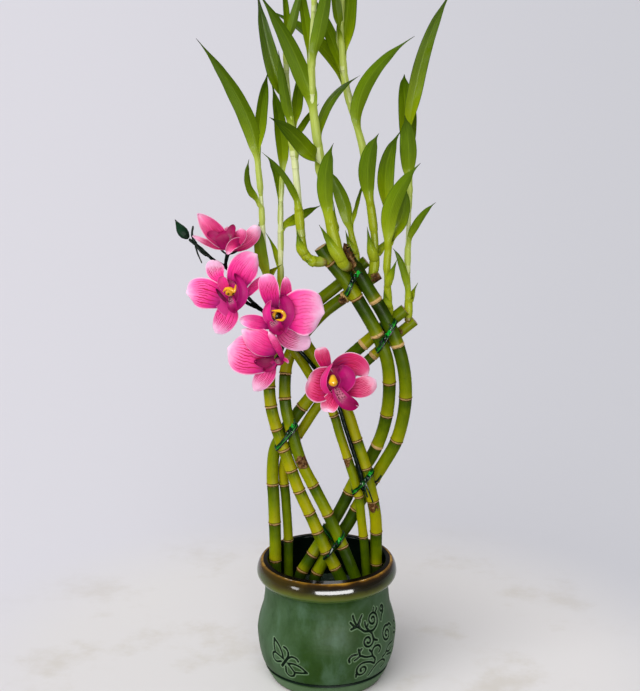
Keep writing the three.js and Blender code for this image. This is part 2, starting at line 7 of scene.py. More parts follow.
import bpy
import numpy as np
from mathutils import Euler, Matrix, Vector


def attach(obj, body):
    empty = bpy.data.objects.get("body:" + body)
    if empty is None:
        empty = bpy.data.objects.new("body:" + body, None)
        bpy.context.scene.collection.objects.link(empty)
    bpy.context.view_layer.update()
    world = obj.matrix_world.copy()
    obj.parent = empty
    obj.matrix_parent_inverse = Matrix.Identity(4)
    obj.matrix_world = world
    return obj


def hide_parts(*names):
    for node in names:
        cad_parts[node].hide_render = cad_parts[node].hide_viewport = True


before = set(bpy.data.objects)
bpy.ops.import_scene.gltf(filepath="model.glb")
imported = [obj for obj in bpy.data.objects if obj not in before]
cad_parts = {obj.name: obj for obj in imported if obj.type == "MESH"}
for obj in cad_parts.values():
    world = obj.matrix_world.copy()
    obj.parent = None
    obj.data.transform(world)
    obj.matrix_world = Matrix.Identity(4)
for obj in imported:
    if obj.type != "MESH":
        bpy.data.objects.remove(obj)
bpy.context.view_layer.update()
mm = 0.001


# Camera: a long lens above the height of the blooms, looking down on the pot at 15.5 degrees.


def in_scene(name, data):
    """A new object of the scene from its mesh, light or camera."""
    added = bpy.data.objects.new(name, data)
    bpy.context.scene.collection.objects.link(added)
    return added


camera = in_scene("camera", bpy.data.cameras.new("camera"))
bpy.context.scene.camera = camera
camera.location = (-0.0063, -1.330, 0.691)
camera.rotation_euler = (math.radians(74.5), 0, 0)
camera.data.lens = 80.2


# Pot: thrown stoneware with a narrow neck, a rolled rim and a groove above its foot. A butterfly
# and a scrolling vine are cut into the clay, on the front and again on the back. The green glaze
# pools dark in the cuts, thins to a pale line beside them and breaks to brown on the rim.

# The wall as [radius, height]: from the foot up, over the rim and down to the floor inside.
pot_wall = [
    [49.6, 0], [51.4, 0.8], [54.3, 5.4], [57.1, 10.6], [58.3, 13.0], [58.1, 14.0], [57.4, 14.9],
    [57.7, 15.8], [59.2, 16.7], [60.4, 19.0], [63, 29], [65, 47.6], [64.5, 53], [63.2, 60],
    [61.1, 67.5], [59.4, 73.5], [58.4, 80], [57.7, 87.2], [57.4, 93.4], [58.5, 96.8],
    [61.6, 99.4], [64.1, 102.4], [65, 105.8], [64.5, 110], [63.1, 114], [61.3, 116.6],
    [59.9, 117.2], [58.6, 116.7], [57.4, 116.4], [56.6, 117.6], [56.2, 119.2], [55.6, 119.9],
    [54.9, 119.4], [54.7, 114], [55.2, 108], [54.8, 95], [54.4, 86], [54.6, 79], [56, 71],
    [58.8, 62.5], [60.9, 54], [61.4, 47], [58, 22], [52, 10.6], [46, 7.6], [20, 7.0],
]
pot_floor = 7
groove_height = 14.9
wall_radius = 64
cut_depth = 0.8
cut_half_width = (0.35, 1.1)
cut_reach = 2.6
cut_edge_rise = 0.14
cut_heights = (17, 92)
fine_spacing, rim_spacing, shoulder_spacing, coarse_spacing = 0.7, 0.45, 0.9, 2.6
fine_turn, coarse_turn = 0.64, 2
butterfly_span, vine_span, back_seam = (-58, -12), (16, 98), 121
rim_from, rim_height = 96.5, 21


def smooth_through(points, step):
    """Points no further than about step apart, on a smooth curve through the given points."""
    points = np.array(points, float)
    padded = np.vstack([2 * points[0] - points[1], points, 2 * points[-1] - points[-2]])
    spans = []
    for before, start, end, after in zip(padded, padded[1:], padded[2:], padded[3:]):
        gaps = (start - before, end - start, after - end)
        first, second, third = (math.sqrt(np.linalg.norm(gap)) for gap in gaps)
        across = end - start
        leaving = (start - before) / first - (end - before) / (first + second) + across / second
        arriving = across / second - (after - start) / (second + third) + (after - end) / third
        leaving, arriving = leaving * second, arriving * second
        count = max(1, math.ceil(np.linalg.norm(across) / step))
        t = (np.arange(count) / count)[:, None]
        bend, twist = 3 * across - 2 * leaving - arriving, leaving + arriving - 2 * across
        spans.append(start + leaving * t + (bend * t**2 + twist * t**3))
    return np.vstack([*spans, points[-1:]])


def thinned(points, spacing_at):
    """Keeps the points that lie at least the wanted spacing apart, and the last one."""
    kept = [points[0]]
    for place in points[1:-1]:
        if np.linalg.norm(place - kept[-1]) >= spacing_at(place):
            kept.append(place)
    return np.array([*kept, points[-1]])


def smoothstep(low, high, value):
    share = np.clip((value - low) / (high - low), 0, 1)
    return share * share * (3 - 2 * share)


def curl(centre, radius, start, turns, *tail):
    """A cut line along a tail, then winding inward round a centre from a start in degrees."""
    steps = np.linspace(0, 1, int(60 * abs(turns)))
    angle = np.radians(start) + math.tau * turns * steps
    reach = radius + (1.5 - radius) * steps**0.85
    wound = np.array(centre) + reach[:, None] * np.stack([np.cos(angle), np.sin(angle)], 1)
    if not tail:
        return wound
    led = smooth_through([*tail, wound[0], wound[4]], 0.6)
    return np.vstack([led, wound[5:]])


def butterfly(centre, size, turn):
    """The cut lines of a butterfly: body, feelers, and a large and a small wing on each side."""
    half = [
        [[0.2, 4.6], [1.1, 9], [3.6, 12], [7.4, 13], [9.8, 12]],
        [[3, 1], [8, 5.8], [15, 8.4], [23.5, 7.8]],
        [[23.5, 7.8], [18.6, 2.8], [13.8, -1.8]],
        [[13.8, -1.8], [8, 0], [3, 1]],
        [[13.8, -1.8], [15, -5.6], [12.4, -9.8], [7.6, -9.8], [3.4, -4]],
    ]
    lines = [np.array([[x, 5.8 - abs(x)], [x, -8 + abs(x)]]) for x in (-0.35, 0.35)]
    for line in half:
        curve = smooth_through(line, 0.8)
        lines += [curve, curve * [-1, 1]]
    c, s = math.cos(math.radians(turn)), math.sin(math.radians(turn))
    return [line * size @ np.array([[c, s], [-s, c]]) + centre for line in lines]


# The vine's cut lines as [way round the wall from the front, height]: curls, stems and leaves.
vine = [
    curl([50, 74.5], 8, -75, 1.6, [43.5, 65.5], [47.6, 65]),
    curl([40.4, 57.2], 6.6, 20, -1.45, [43.5, 65.5], [46.2, 62.4]),
    curl([66.5, 55.5], 8, 55, 1.6, [78, 58.6], [75, 62]),
    curl([66, 79.5], 4.2, -60, 1.3, [62, 70], [65.4, 74.4]),
    curl([34.6, 29.6], 7.4, 95, 1.4, [48.6, 32.2], [42, 36]),
    curl([88, 54], 7, -150, 1.5, [78.6, 43], [80.4, 49]),
    curl([86, 29], 6, 170, -1.3, [68, 33.6], [75, 32]),
] + [smooth_through(line, 0.6) for line in (
    [[43.5, 65.5], [38, 66.6], [33.6, 70], [30.4, 72], [24, 70.8]],
    [[28.4, 71.8], [23.6, 77]], [[30.8, 72.4], [28, 78], [26.6, 83]],
    [[31.6, 73.6], [34.4, 78], [37, 81.4]], [[33.8, 70.2], [32.8, 73.4], [34.6, 76.6]],
    [[43, 66.6], [40.4, 70], [39.8, 74.4]], [[41.4, 69], [43.2, 71.6]],
    [[46.6, 60], [48.2, 56.6], [51.4, 54.8]], [[55.6, 80.4], [57.8, 82.6]],
    [[52.2, 82.4], [53, 85]],
    [[45.3, 41.2], [44.2, 45.6], [47, 49.8], [52.4, 49.6], [55.2, 45.4], [53.4, 42.6]],
    [[44.3, 45], [41.2, 48.6]],
    [[45.3, 41.2], [38, 42.2], [31, 45], [28.4, 43.2], [25.8, 41.8]], [[31, 45.4], [29.6, 51.8]],
    [[30, 49.4], [32.6, 51.6]], [[27.8, 47.4], [22.8, 46.8], [20.2, 43.6], [20.8, 40.6]],
    [[45.3, 41.2], [48.8, 36.8], [48.6, 32.2]], [[28.4, 26.6], [28.8, 23.2]],
    [[43, 21], [48.6, 28], [54, 31.4], [61, 31.6], [65.6, 27.4], [60, 23.8]],
    [[59.6, 34.6], [64.6, 36.8], [68, 42.6], [78.6, 43]], [[66.2, 38], [72, 35.6], [78.4, 37.6]],
)]
cut_lines = [*butterfly([-41, 36.5], 0.95, -36), *vine]


def distance_to_lines(places, lines):
    """How far each place on the wall is from the nearest cut line."""
    nearest = np.full(len(places), float(cut_reach))
    for line in lines:
        low, high = line.min(0) - cut_reach, line.max(0) + cut_reach
        near = np.flatnonzero(((places > low) & (places < high)).all(1))
        for start, end in zip(line, line[1:]):
            along = end - start
            share = np.clip((places[near] - start) @ along / (along @ along), 0, 1)
            gap = np.linalg.norm(places[near] - start - share[:, None] * along, axis=1)
            nearest[near] = np.minimum(nearest[near], gap)
    return nearest


def colour(code):
    """A colour as light, from its code as a paint chart gives it."""
    parts = [int(code[i:i + 2], 16) / 255 for i in (1, 3, 5)]
    return (*(p / 12.92 if p <= 0.04045 else ((p + 0.055) / 1.055) ** 2.4 for p in parts), 1)


class Field:
    """A number, colour or vector that varies over a surface. Sums with it add Math nodes."""

    def __init__(self, nodes, socket):
        self.nodes, self.socket = nodes, socket

    def __add__(self, other):
        return self.nodes.maths("ADD", self, other)

    def __sub__(self, other):
        return self.nodes.maths("SUBTRACT", self, other)

    def __rsub__(self, other):
        return self.nodes.maths("SUBTRACT", other, self)

    def __mul__(self, other):
        return self.nodes.maths("MULTIPLY", self, other)

    def __truediv__(self, other):
        return self.nodes.maths("DIVIDE", self, other)

    def __pow__(self, other):
        return self.nodes.maths("POWER", self, other)

    def __abs__(self):
        return self.nodes.maths("ABSOLUTE", self)

    __radd__ = __add__
    __rmul__ = __mul__


class Nodes:
    """A node tree. node() adds one node from its type, its settings and its sockets' values."""

    def __init__(self, tree):
        self.tree = tree

    def node(self, kind, settings=None, sockets=(), output=0):
        added = self.tree.nodes.new(kind)
        for name, value in (settings or {}).items():
            if name == "stops":
                elements = added.color_ramp.elements
                for i, (place, code) in enumerate(value):
                    stop = elements[i] if i < 2 else elements.new(place)
                    stop.position = place
                    stop.color = colour(code)
            else:
                setattr(added, name, value)
        pairs = sockets.items() if isinstance(sockets, dict) else enumerate(sockets)
        for key, value in pairs:
            self.feed(added.inputs[key], value)
        return Field(self, added.outputs[output]) if added.outputs else added

    def maths(self, operation, *values):
        return self.node("ShaderNodeMath", {"operation": operation}, values)

    def feed(self, socket, value):
        if isinstance(value, Field):
            self.tree.links.new(value.socket, socket)
        else:
            socket.default_value = value


class Finish(Nodes):
    """A finish of one surface: a procedural material, and the patterns that finishes share."""

    def __init__(self, name, **uniform):
        self.material = bpy.data.materials.new(name)
        self.material.use_nodes = True
        super().__init__(self.material.node_tree)
        self.shader = self.tree.nodes["Principled BSDF"]
        for socket, value in uniform.items():
            self.shader.inputs[socket.replace("_", " ")].default_value = value

    def place(self, scale=(1, 1, 1)):
        """Places in metres, stretched along each axis."""
        where = self.node("ShaderNodeTexCoord", output="Object")
        return self.node("ShaderNodeMapping", sockets={"Vector": where, "Scale": scale})

    def split(self, where):
        """The three numbers of a place."""
        return [self.node("ShaderNodeSeparateXYZ", sockets=[where], output=axis) for axis in "XYZ"]

    def length(self, where):
        return self.node("ShaderNodeVectorMath", {"operation": "LENGTH"}, [where], "Value")

    def mark(self, name):
        """A number stored on the mesh."""
        return self.node("ShaderNodeAttribute", {"attribute_name": name}, output="Fac")

    def noise(self, where, scale, detail=3, roughness=0.55, distortion=0):
        sockets = {"Vector": where, "Scale": scale, "Detail": detail, "Roughness": roughness,
                   "Distortion": distortion}
        return self.node("ShaderNodeTexNoise", sockets=sockets)

    def rise(self, value, low, high):
        """A smooth step: 0 where the value is below low and 1 above high."""
        sockets = {"Value": value, "From Min": low, "From Max": high}
        return self.node("ShaderNodeMapRange", {"interpolation_type": "SMOOTHSTEP"}, sockets)

    def blend(self, share, first, second):
        """From the first colour to the second, each a colour code or a field."""
        first, second = (colour(end) if isinstance(end, str) else end for end in (first, second))
        return self.node("ShaderNodeMix", {"data_type": "RGBA"}, {0: share, 6: first, 7: second}, 2)

    def ramp(self, share, stops):
        return self.node("ShaderNodeValToRGB", {"stops": stops}, [share], "Color")

    def done(self, base, roughness=None, relief=None, depth=0.0003):
        """Feeds the shader. relief is a height, and depth is its size in metres."""
        self.feed(self.shader.inputs["Base Color"], base)
        if roughness is not None:
            self.feed(self.shader.inputs["Roughness"], roughness)
        if relief is not None:
            bump = self.node("ShaderNodeBump", sockets={"Distance": depth, "Height": relief})
            self.feed(self.shader.inputs["Normal"], bump)
        return self.material


def set_marks(mesh, marks):
    """Stores marks on a mesh. A mark is a number on each of its points."""
    for mark, values in marks.items():
        stored = mesh.attributes.new(mark, "FLOAT", "POINT")
        stored.data.foreach_set("value", np.asarray(values, np.float32))


def piece_from(name, points, faces, finish, marks, sharp=None):
    """A finished piece in its place, from points in millimetres."""
    mesh = bpy.data.meshes.new(name)
    mesh.from_pydata((np.asarray(points) * mm).tolist(), [], [tuple(face) for face in faces])
    set_marks(mesh, marks)
    mesh.shade_smooth()
    if sharp:
        mesh.set_sharp_from_angle(angle=math.radians(sharp))
    mesh.materials.append(finish)
    return in_scene(name, mesh)


def faces_round(rows, turns, corners=(0, 1, 2, 3)):
    """Four-sided faces between rows of points that each close round an axis."""
    grid = np.arange(rows * turns).reshape(rows, turns)
    over = np.roll(grid, -1, 1)
    quads = np.stack([grid[:-1], over[:-1], over[1:], grid[1:]], 2).reshape(-1, 4)
    return quads[:, corners]


def row_spacing(place):
    """How far apart the pot's rows lie: wide inside, on the plain neck and under the foot."""
    radius, height, inside = place
    on_neck, under_foot = radius < 57.9 and height > 20, radius < 50 and height < 12
    if inside or on_neck or under_foot:
        return coarse_spacing
    on_rim, on_shoulder = height > 113, height > 88
    return rim_spacing if on_rim else shoulder_spacing if on_shoulder else fine_spacing


def pot_mesh():
    """The pot as rows of points turned round its axis, closer together where the wall is cut."""
    profile = smooth_through(pot_wall, 0.15)
    inside = np.arange(len(profile)) > np.argmax(profile[:, 1]) + 3
    rows = thinned(np.column_stack([profile, inside]), row_spacing)
    half_turn = np.concatenate([
        np.arange(*butterfly_span, fine_turn),
        np.arange(butterfly_span[1], vine_span[0], coarse_turn),
        np.arange(*vine_span, fine_turn),
        np.arange(vine_span[1], back_seam, coarse_turn),
    ])
    angles = np.radians(np.concatenate([half_turn, half_turn + 180]))
    radius = np.repeat(rows[:, :1], len(angles), axis=1)
    height = np.repeat(rows[:, 1:2], len(angles), axis=1)
    wound = np.degrees(angles)[None, :] * np.ones_like(radius)
    wound = np.where(wound > back_seam, wound - 180, wound)
    flat = np.column_stack([(np.radians(wound) * wall_radius).ravel(), height.ravel()])
    outer = (rows[:, 2:] < 0.5) & (rows[:, 1:2] > cut_heights[0]) & (rows[:, 1:2] < cut_heights[1])
    cut = np.where(outer, distance_to_lines(flat, cut_lines).reshape(radius.shape), cut_reach)
    edge = smoothstep(2.3, 1.4, cut) * (cut > 1.25)
    radius = radius - cut_depth * (1 - smoothstep(*cut_half_width, cut)) + cut_edge_rise * edge
    points = np.stack([radius * np.sin(angles), -radius * np.cos(angles), height], axis=2)
    count, turns = len(rows), len(angles)
    foot, bed = count * turns, count * turns + 1
    faces = faces_round(count, turns).tolist()
    for turn in range(turns):
        after = (turn + 1) % turns
        faces.append((foot, after, turn))
        faces.append((bed, (count - 1) * turns + turn, (count - 1) * turns + after))
    points = np.vstack([points.reshape(-1, 3), [0, 0, 0], [0, 0, pot_floor]])
    marks = {
        "cut": [*cut.ravel(), cut_reach, cut_reach],
        "inside": [*np.repeat(rows[:, 2], turns), 0, 1],
    }
    return points, faces, marks


def glaze_finish():
    glaze = Finish("glaze", Specular_IOR_Level=0.03, Coat_IOR=1.3, Coat_Roughness=0.09)
    where = glaze.place()
    side, _, height = glaze.split(where)
    side, height = side / mm, height / mm
    clouds = glaze.noise(where, 24, 4, 0.6, 0.4)
    grain = glaze.noise(where, 420, 3, 0.6)
    streaks = glaze.noise(glaze.place((52, 52, 24)), 1, 4, 0.6)
    body = glaze.ramp(clouds, [
        (0.32, "#253d10"), (0.7, "#3b543b"), (0.46, "#2a441a"), (0.58, "#314b27"),
    ])
    body = glaze.blend(glaze.rise(grain, 0.42, 0.7) * 0.25, body, "#243b1e")
    # Painted reflection: the body is painted paler and greyer towards its left and right edges,
    # where the glaze would mirror the bright room.
    body = glaze.blend(glaze.rise(abs(side) + (clouds - 0.5) * 40, 16, 60) * 0.75, body, "#50684e")
    body = glaze.blend(glaze.rise(streaks, 0.46, 0.72) * 0.36, body, "#5e7b64")
    body = glaze.blend((1 - glaze.rise(streaks, 0.3, 0.48)) * 0.34, body, "#1f3616")
    level = height + (streaks - 0.5) * 5 + (clouds - 0.5) * 2
    rim = glaze.ramp((level - rim_from) / rim_height, [
        (0.0, "#3c5834"), (1.0, "#b08428"), (0.18, "#48602a"), (0.36, "#565e1a"), (0.48, "#42440f"),
        (0.62, "#1c1a04"), (0.8, "#160f02"), (0.92, "#2e1d04"), (0.975, "#7a5412"),
    ])
    left = glaze.rise(0 - side + (streaks - 0.5) * 60, 0, 44)
    rim = glaze.blend(left * glaze.rise(height, 103, 109) * 0.35, rim, "#50420a")
    # Painted reflection: the rim's outer face is painted grey-green towards its left and right
    # edges.
    sides = glaze.rise(abs(side), 46, 62) * (1 - glaze.rise(height, 109, 114))
    rim = glaze.blend(sides * 0.7, rim, "#4a5a32")
    # Painted shade and highlight: inside the mouth the rim is painted almost black as shade, and
    # its top edge is painted paler as a highlight.
    from_axis = glaze.length(glaze.place((1, 1, 0))) / mm
    mouth = (1 - glaze.rise(from_axis, 58.6, 59.4)) * glaze.rise(height, 112, 114)
    lip = glaze.blend(glaze.rise(height, 118.9, 119.4), "#0a0602", "#6b5c2c")
    rim = glaze.blend(mouth, rim, lip)
    body = glaze.blend(glaze.rise(level, rim_from, rim_from + 3.5), body, rim)
    foot = 1 - glaze.rise(height, 11, 14)
    body = glaze.blend(foot * 0.6, body, "#647f5c")
    groove = 1 - glaze.rise(abs(height - groove_height), 1.0, 1.9)
    cut = glaze.mark("cut")
    pooled = 1 - glaze.rise(cut, 0.65, 1.05)
    pale = glaze.rise(cut, 1.0, 1.35) * (1 - glaze.rise(cut, 1.5, 2.4))
    body = glaze.blend(pale * 0.6, body, "#7d9775")
    body = glaze.blend(glaze.maths("MAXIMUM", pooled, groove) * 0.97, body, "#03130a")
    # Painted shade: the wall and floor inside the pot are painted almost black.
    dark = glaze.blend(glaze.noise(where, 60, 3), "#020805", "#0d1b12")
    body = glaze.blend(glaze.mark("inside"), body, dark)
    bare = 1 - glaze.rise(height + grain * 1.6, 2.0, 2.8)
    body = glaze.blend(bare, body, "#4b3a2a")
    glossy = glaze.rise(height, 96, 102)
    inner = glaze.maths("MAXIMUM", mouth * 0.85, glaze.mark("inside"))
    glaze.feed(glaze.shader.inputs["Coat Weight"], glossy * 0.7 * (1 - bare) * (1 - inner * 0.95))
    roughness = 0.34 + clouds * 0.16 - glossy * 0.2 + bare * 0.4
    relief = clouds * 0.8 + grain * 0.12 - pooled * 0.5
    return glaze.done(body, roughness, relief, 0.0006)


pot_points, pot_faces, pot_marks = pot_mesh()
pot = piece_from("glazed_pot", pot_points, pot_faces, glaze_finish(), pot_marks)
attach(pot, "root")
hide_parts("pot")


# Pebbles: a bed of washed river pebbles that holds the feet of the canes. The stones that show are
# scattered on the bed's top, each with its own size, turn and tone. They lie clear of the canes.

pebble_level = 56
pebble_size, pebble_spacing = 4.2, 4.6
bed_radius, bed_rings, bed_turns = 60, 16, 48
clear_of_canes, clear_within = 10, 57.5
cane_feet = [(-45, 4), (-34, 14), (-25, 1), (-9, 5), (19, -14), (32, -14), (44, 9), (36, 2)]


class Growth(Nodes):
    """A tree of geometry nodes, with named inputs, that grows one mesh out of another."""

    def __init__(self, name, inputs):
        super().__init__(bpy.data.node_groups.new(name, "GeometryNodeTree"))
        mesh = {"Geometry": "NodeSocketGeometry"}
        kinds = {**mesh, **inputs}
        for side, sockets in (("INPUT", kinds), ("OUTPUT", mesh)):
            for label, kind in sockets.items():
                self.tree.interface.new_socket(label, in_out=side, socket_type=kind)
        entry = self.tree.nodes.new("NodeGroupInput")
        self.inputs = {label: Field(self, entry.outputs[label]) for label in kinds}

    def stored(self, name, kind="FLOAT"):
        return self.node("GeometryNodeInputNamedAttribute", {"data_type": kind}, {"Name": name})

    def finish(self, geometry, finish):
        """Makes the instances real, sets the finish and leads the result out."""
        real = self.node("GeometryNodeRealizeInstances", sockets=[geometry])
        smooth = self.node("GeometryNodeSetShadeSmooth", sockets=[real])
        coated = self.node("GeometryNodeSetMaterial", sockets={
            "Geometry": smooth, "Material": finish,
        })
        self.node("NodeGroupOutput", sockets=[coated])

    def grow(self, name, mesh, values):
        """A plain object with the tree's result on a mesh. values are the tree's named inputs."""
        grown = in_scene(name, mesh)
        modifier = grown.modifiers.new("growth", "NODES")
        modifier.node_group = self.tree
        for item in self.tree.interface.items_tree:
            if item.in_out == "INPUT" and item.name in values:
                modifier[item.identifier] = values[item.name]
        graph = bpy.context.evaluated_depsgraph_get()
        result = bpy.data.meshes.new_from_object(
            grown.evaluated_get(graph), preserve_all_data_layers=True, depsgraph=graph,
        )
        grown.modifiers.clear()
        grown.data = result
        result.name = name
        return grown


def scattered_pebbles():
    """Stones on the bed's faces: squashed, bent balls, fewer where the mark called room is low."""
    bed = Growth("scattered_pebbles", {
        "Stone Size": "NodeSocketFloat", "Spacing": "NodeSocketFloat",
        "Seed": "NodeSocketInt", "Finish": "NodeSocketMaterial",
    })
    seed = bed.inputs["Seed"]
    spots = bed.node("GeometryNodeDistributePointsOnFaces", {"distribute_method": "POISSON"}, {
        "Mesh": bed.inputs["Geometry"], "Distance Min": bed.inputs["Spacing"],
        "Density Max": 90000.0, "Density Factor": bed.stored("room"), "Seed": seed,
    })
    ball = bed.node("GeometryNodeMeshIcoSphere", sockets={"Radius": 1.0, "Subdivisions": 2})
    bends = bed.node("ShaderNodeTexNoise", sockets={"Scale": 1.1, "Detail": 1.0}, output="Color")
    bent = bed.node("GeometryNodeSetPosition", sockets={
        "Geometry": ball,
        "Offset": bed.node("ShaderNodeVectorMath", {"operation": "MULTIPLY_ADD"},
                           {0: bends, 1: (0.7, 0.7, 0.7), 2: (-0.35, -0.35, -0.35)}),
    })
    turn = bed.node("FunctionNodeRandomValue", {"data_type": "FLOAT_VECTOR"}, {
        0: (-0.5, -0.5, 0.0), 1: (0.5, 0.5, math.tau), "Seed": seed,
    })
    shape = bed.node("FunctionNodeRandomValue", {"data_type": "FLOAT_VECTOR"}, {
        0: (0.75, 0.6, 0.45), 1: (1.25, 0.95, 0.65), "Seed": seed + 7,
    })
    size = bed.node("ShaderNodeVectorMath", {"operation": "SCALE"}, {
        "Vector": shape, "Scale": bed.inputs["Stone Size"],
    })
    stones = bed.node("GeometryNodeInstanceOnPoints", sockets={
        "Points": spots, "Instance": bent, "Rotation": turn, "Scale": size,
    })
    tone = bed.node("FunctionNodeRandomValue", {"data_type": "FLOAT"}, {"Seed": seed + 3}, 1)
    kept_on_stones = {"data_type": "FLOAT", "domain": "INSTANCE"}
    toned = bed.node("GeometryNodeStoreNamedAttribute", kept_on_stones, {
        "Geometry": stones, "Name": "tone", "Value": tone,
    })
    whole = bed.node("GeometryNodeJoinGeometry")
    for part in (bed.inputs["Geometry"], toned):
        bed.tree.links.new(part.socket, whole.socket.node.inputs[0])
    bed.finish(whole, bed.inputs["Finish"])
    return bed


def pebble_finish():
    pebble = Finish("river_pebble", Coat_Roughness=0.1)
    where = pebble.place()
    veins = pebble.noise(where, 240, 5, 0.6, 1.2)
    grain = pebble.noise(where, 1500, 2)
    stone = pebble.ramp(pebble.mark("tone"), [
        (0, "#6d685c"), (1, "#4a4a46"), (0.3, "#a39a86"), (0.5, "#7c6f5c"), (0.7, "#b9b3a4"),
        (0.85, "#5c5850"),
    ])
    stone = pebble.blend(pebble.rise(veins, 0.5, 0.66) * 0.4, stone, "#cfc8b8")
    stone = pebble.blend(grain * 0.5, stone, "#3c3a34")
    return pebble.done(stone, 0.22 + grain * 0.3, veins + grain * 0.3, 0.0002)


bed_points = [[0, 0, pebble_level]]
for reach in np.linspace(0, bed_radius, bed_rings + 1)[1:]:
    for turn in np.linspace(0, math.tau, bed_turns + 1)[:-1]:
        bed_points.append([reach * math.cos(turn), reach * math.sin(turn), pebble_level])
bed_faces = [(0, 1 + i, 1 + (i + 1) % bed_turns) for i in range(bed_turns)]
bed_faces += (1 + faces_round(bed_rings, bed_turns, (0, 3, 2, 1))).tolist()
room = [
    min(math.dist(point[:2], foot) for foot in cane_feet) > clear_of_canes
    and math.hypot(*point[:2]) < clear_within
    for point in bed_points
]
bed_marks = {"room": room, "tone": [0.85] * len(room)}
stone_finish = pebble_finish()
bed = piece_from("pebble_bed", bed_points, bed_faces, stone_finish, bed_marks)
pebbles = scattered_pebbles().grow("river_pebbles", bed.data, {
    "Stone Size": pebble_size * mm, "Spacing": pebble_spacing * mm, "Seed": 5,
    "Finish": stone_finish,
})
bpy.data.objects.remove(bed)
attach(pebbles, "root")
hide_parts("pebbles")


# Water: it stands over the pebbles, wets them and climbs a little where it meets the glaze. Nearly
# clear, faintly green, with a slight ripple.

# The water as [radius, height]: from its underside out, up along the wall and back over its top.
water_shape = [
    [0.05, 57.2], [30, 57.2], [59.2, 57.2], [58.7, 61.5], [55.9, 70.6], [54.9, 76.5],
    [54.1, 75.9], [51, 75.6], [40, 75.6], [28, 75.6], [16, 75.6], [6, 75.6], [0.05, 75.6],
]
water_turns = 96
surface_from = 70
water = Finish("still_water", Roughness=0.03, IOR=1.33)
ripple = water.noise(water.place(), 60, 2)
depth_tint = water.blend(water.rise(ripple, 0.4, 0.6), "#5e7463", "#74867a")
water.feed(water.shader.inputs["Alpha"], 0.28)
water_skin = water.done(depth_tint, None, ripple, 0.0003)
turns = np.linspace(0, math.tau, water_turns + 1)[:-1]
wave = 0.12 * np.sin(turns * 5 + 1) + 0.08 * np.sin(turns * 11)
water_points = []
for radius, height in water_shape:
    lap = wave * min(1, radius / 20) * (height > surface_from)
    row = [radius * np.cos(turns), radius * np.sin(turns), height + lap]
    water_points += np.stack(row, 1).tolist()
water_faces = faces_round(len(water_shape), water_turns).tolist()
water_faces += [range(water_turns)[::-1], range(len(water_points))[-water_turns:]]
still_water = piece_from("still_water", water_points, water_faces, water_skin, {}, 40)
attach(still_water, "root")
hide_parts("water")


# Canes: eight stems of living lucky bamboo, bent while they grew and woven in pairs. A ring marks
# each joint, where a leaf was pulled off: a pale scar between two brown lines. Each length between
# two rings is yellowest just above its lower ring and greenest below the next. The tops are sawn.

cane_sides = 26
ring_relief = 0.55
ring_room = 4
row_spacing_at_rings, row_spacing_between = 0.4, 2.2
stub_thinning, stub_shoulder = 0.36, 7
sawn_top = [(0.0, 0.97), (0.06, 0.9), (0.1, 0.5), (0.14, 0.1)]

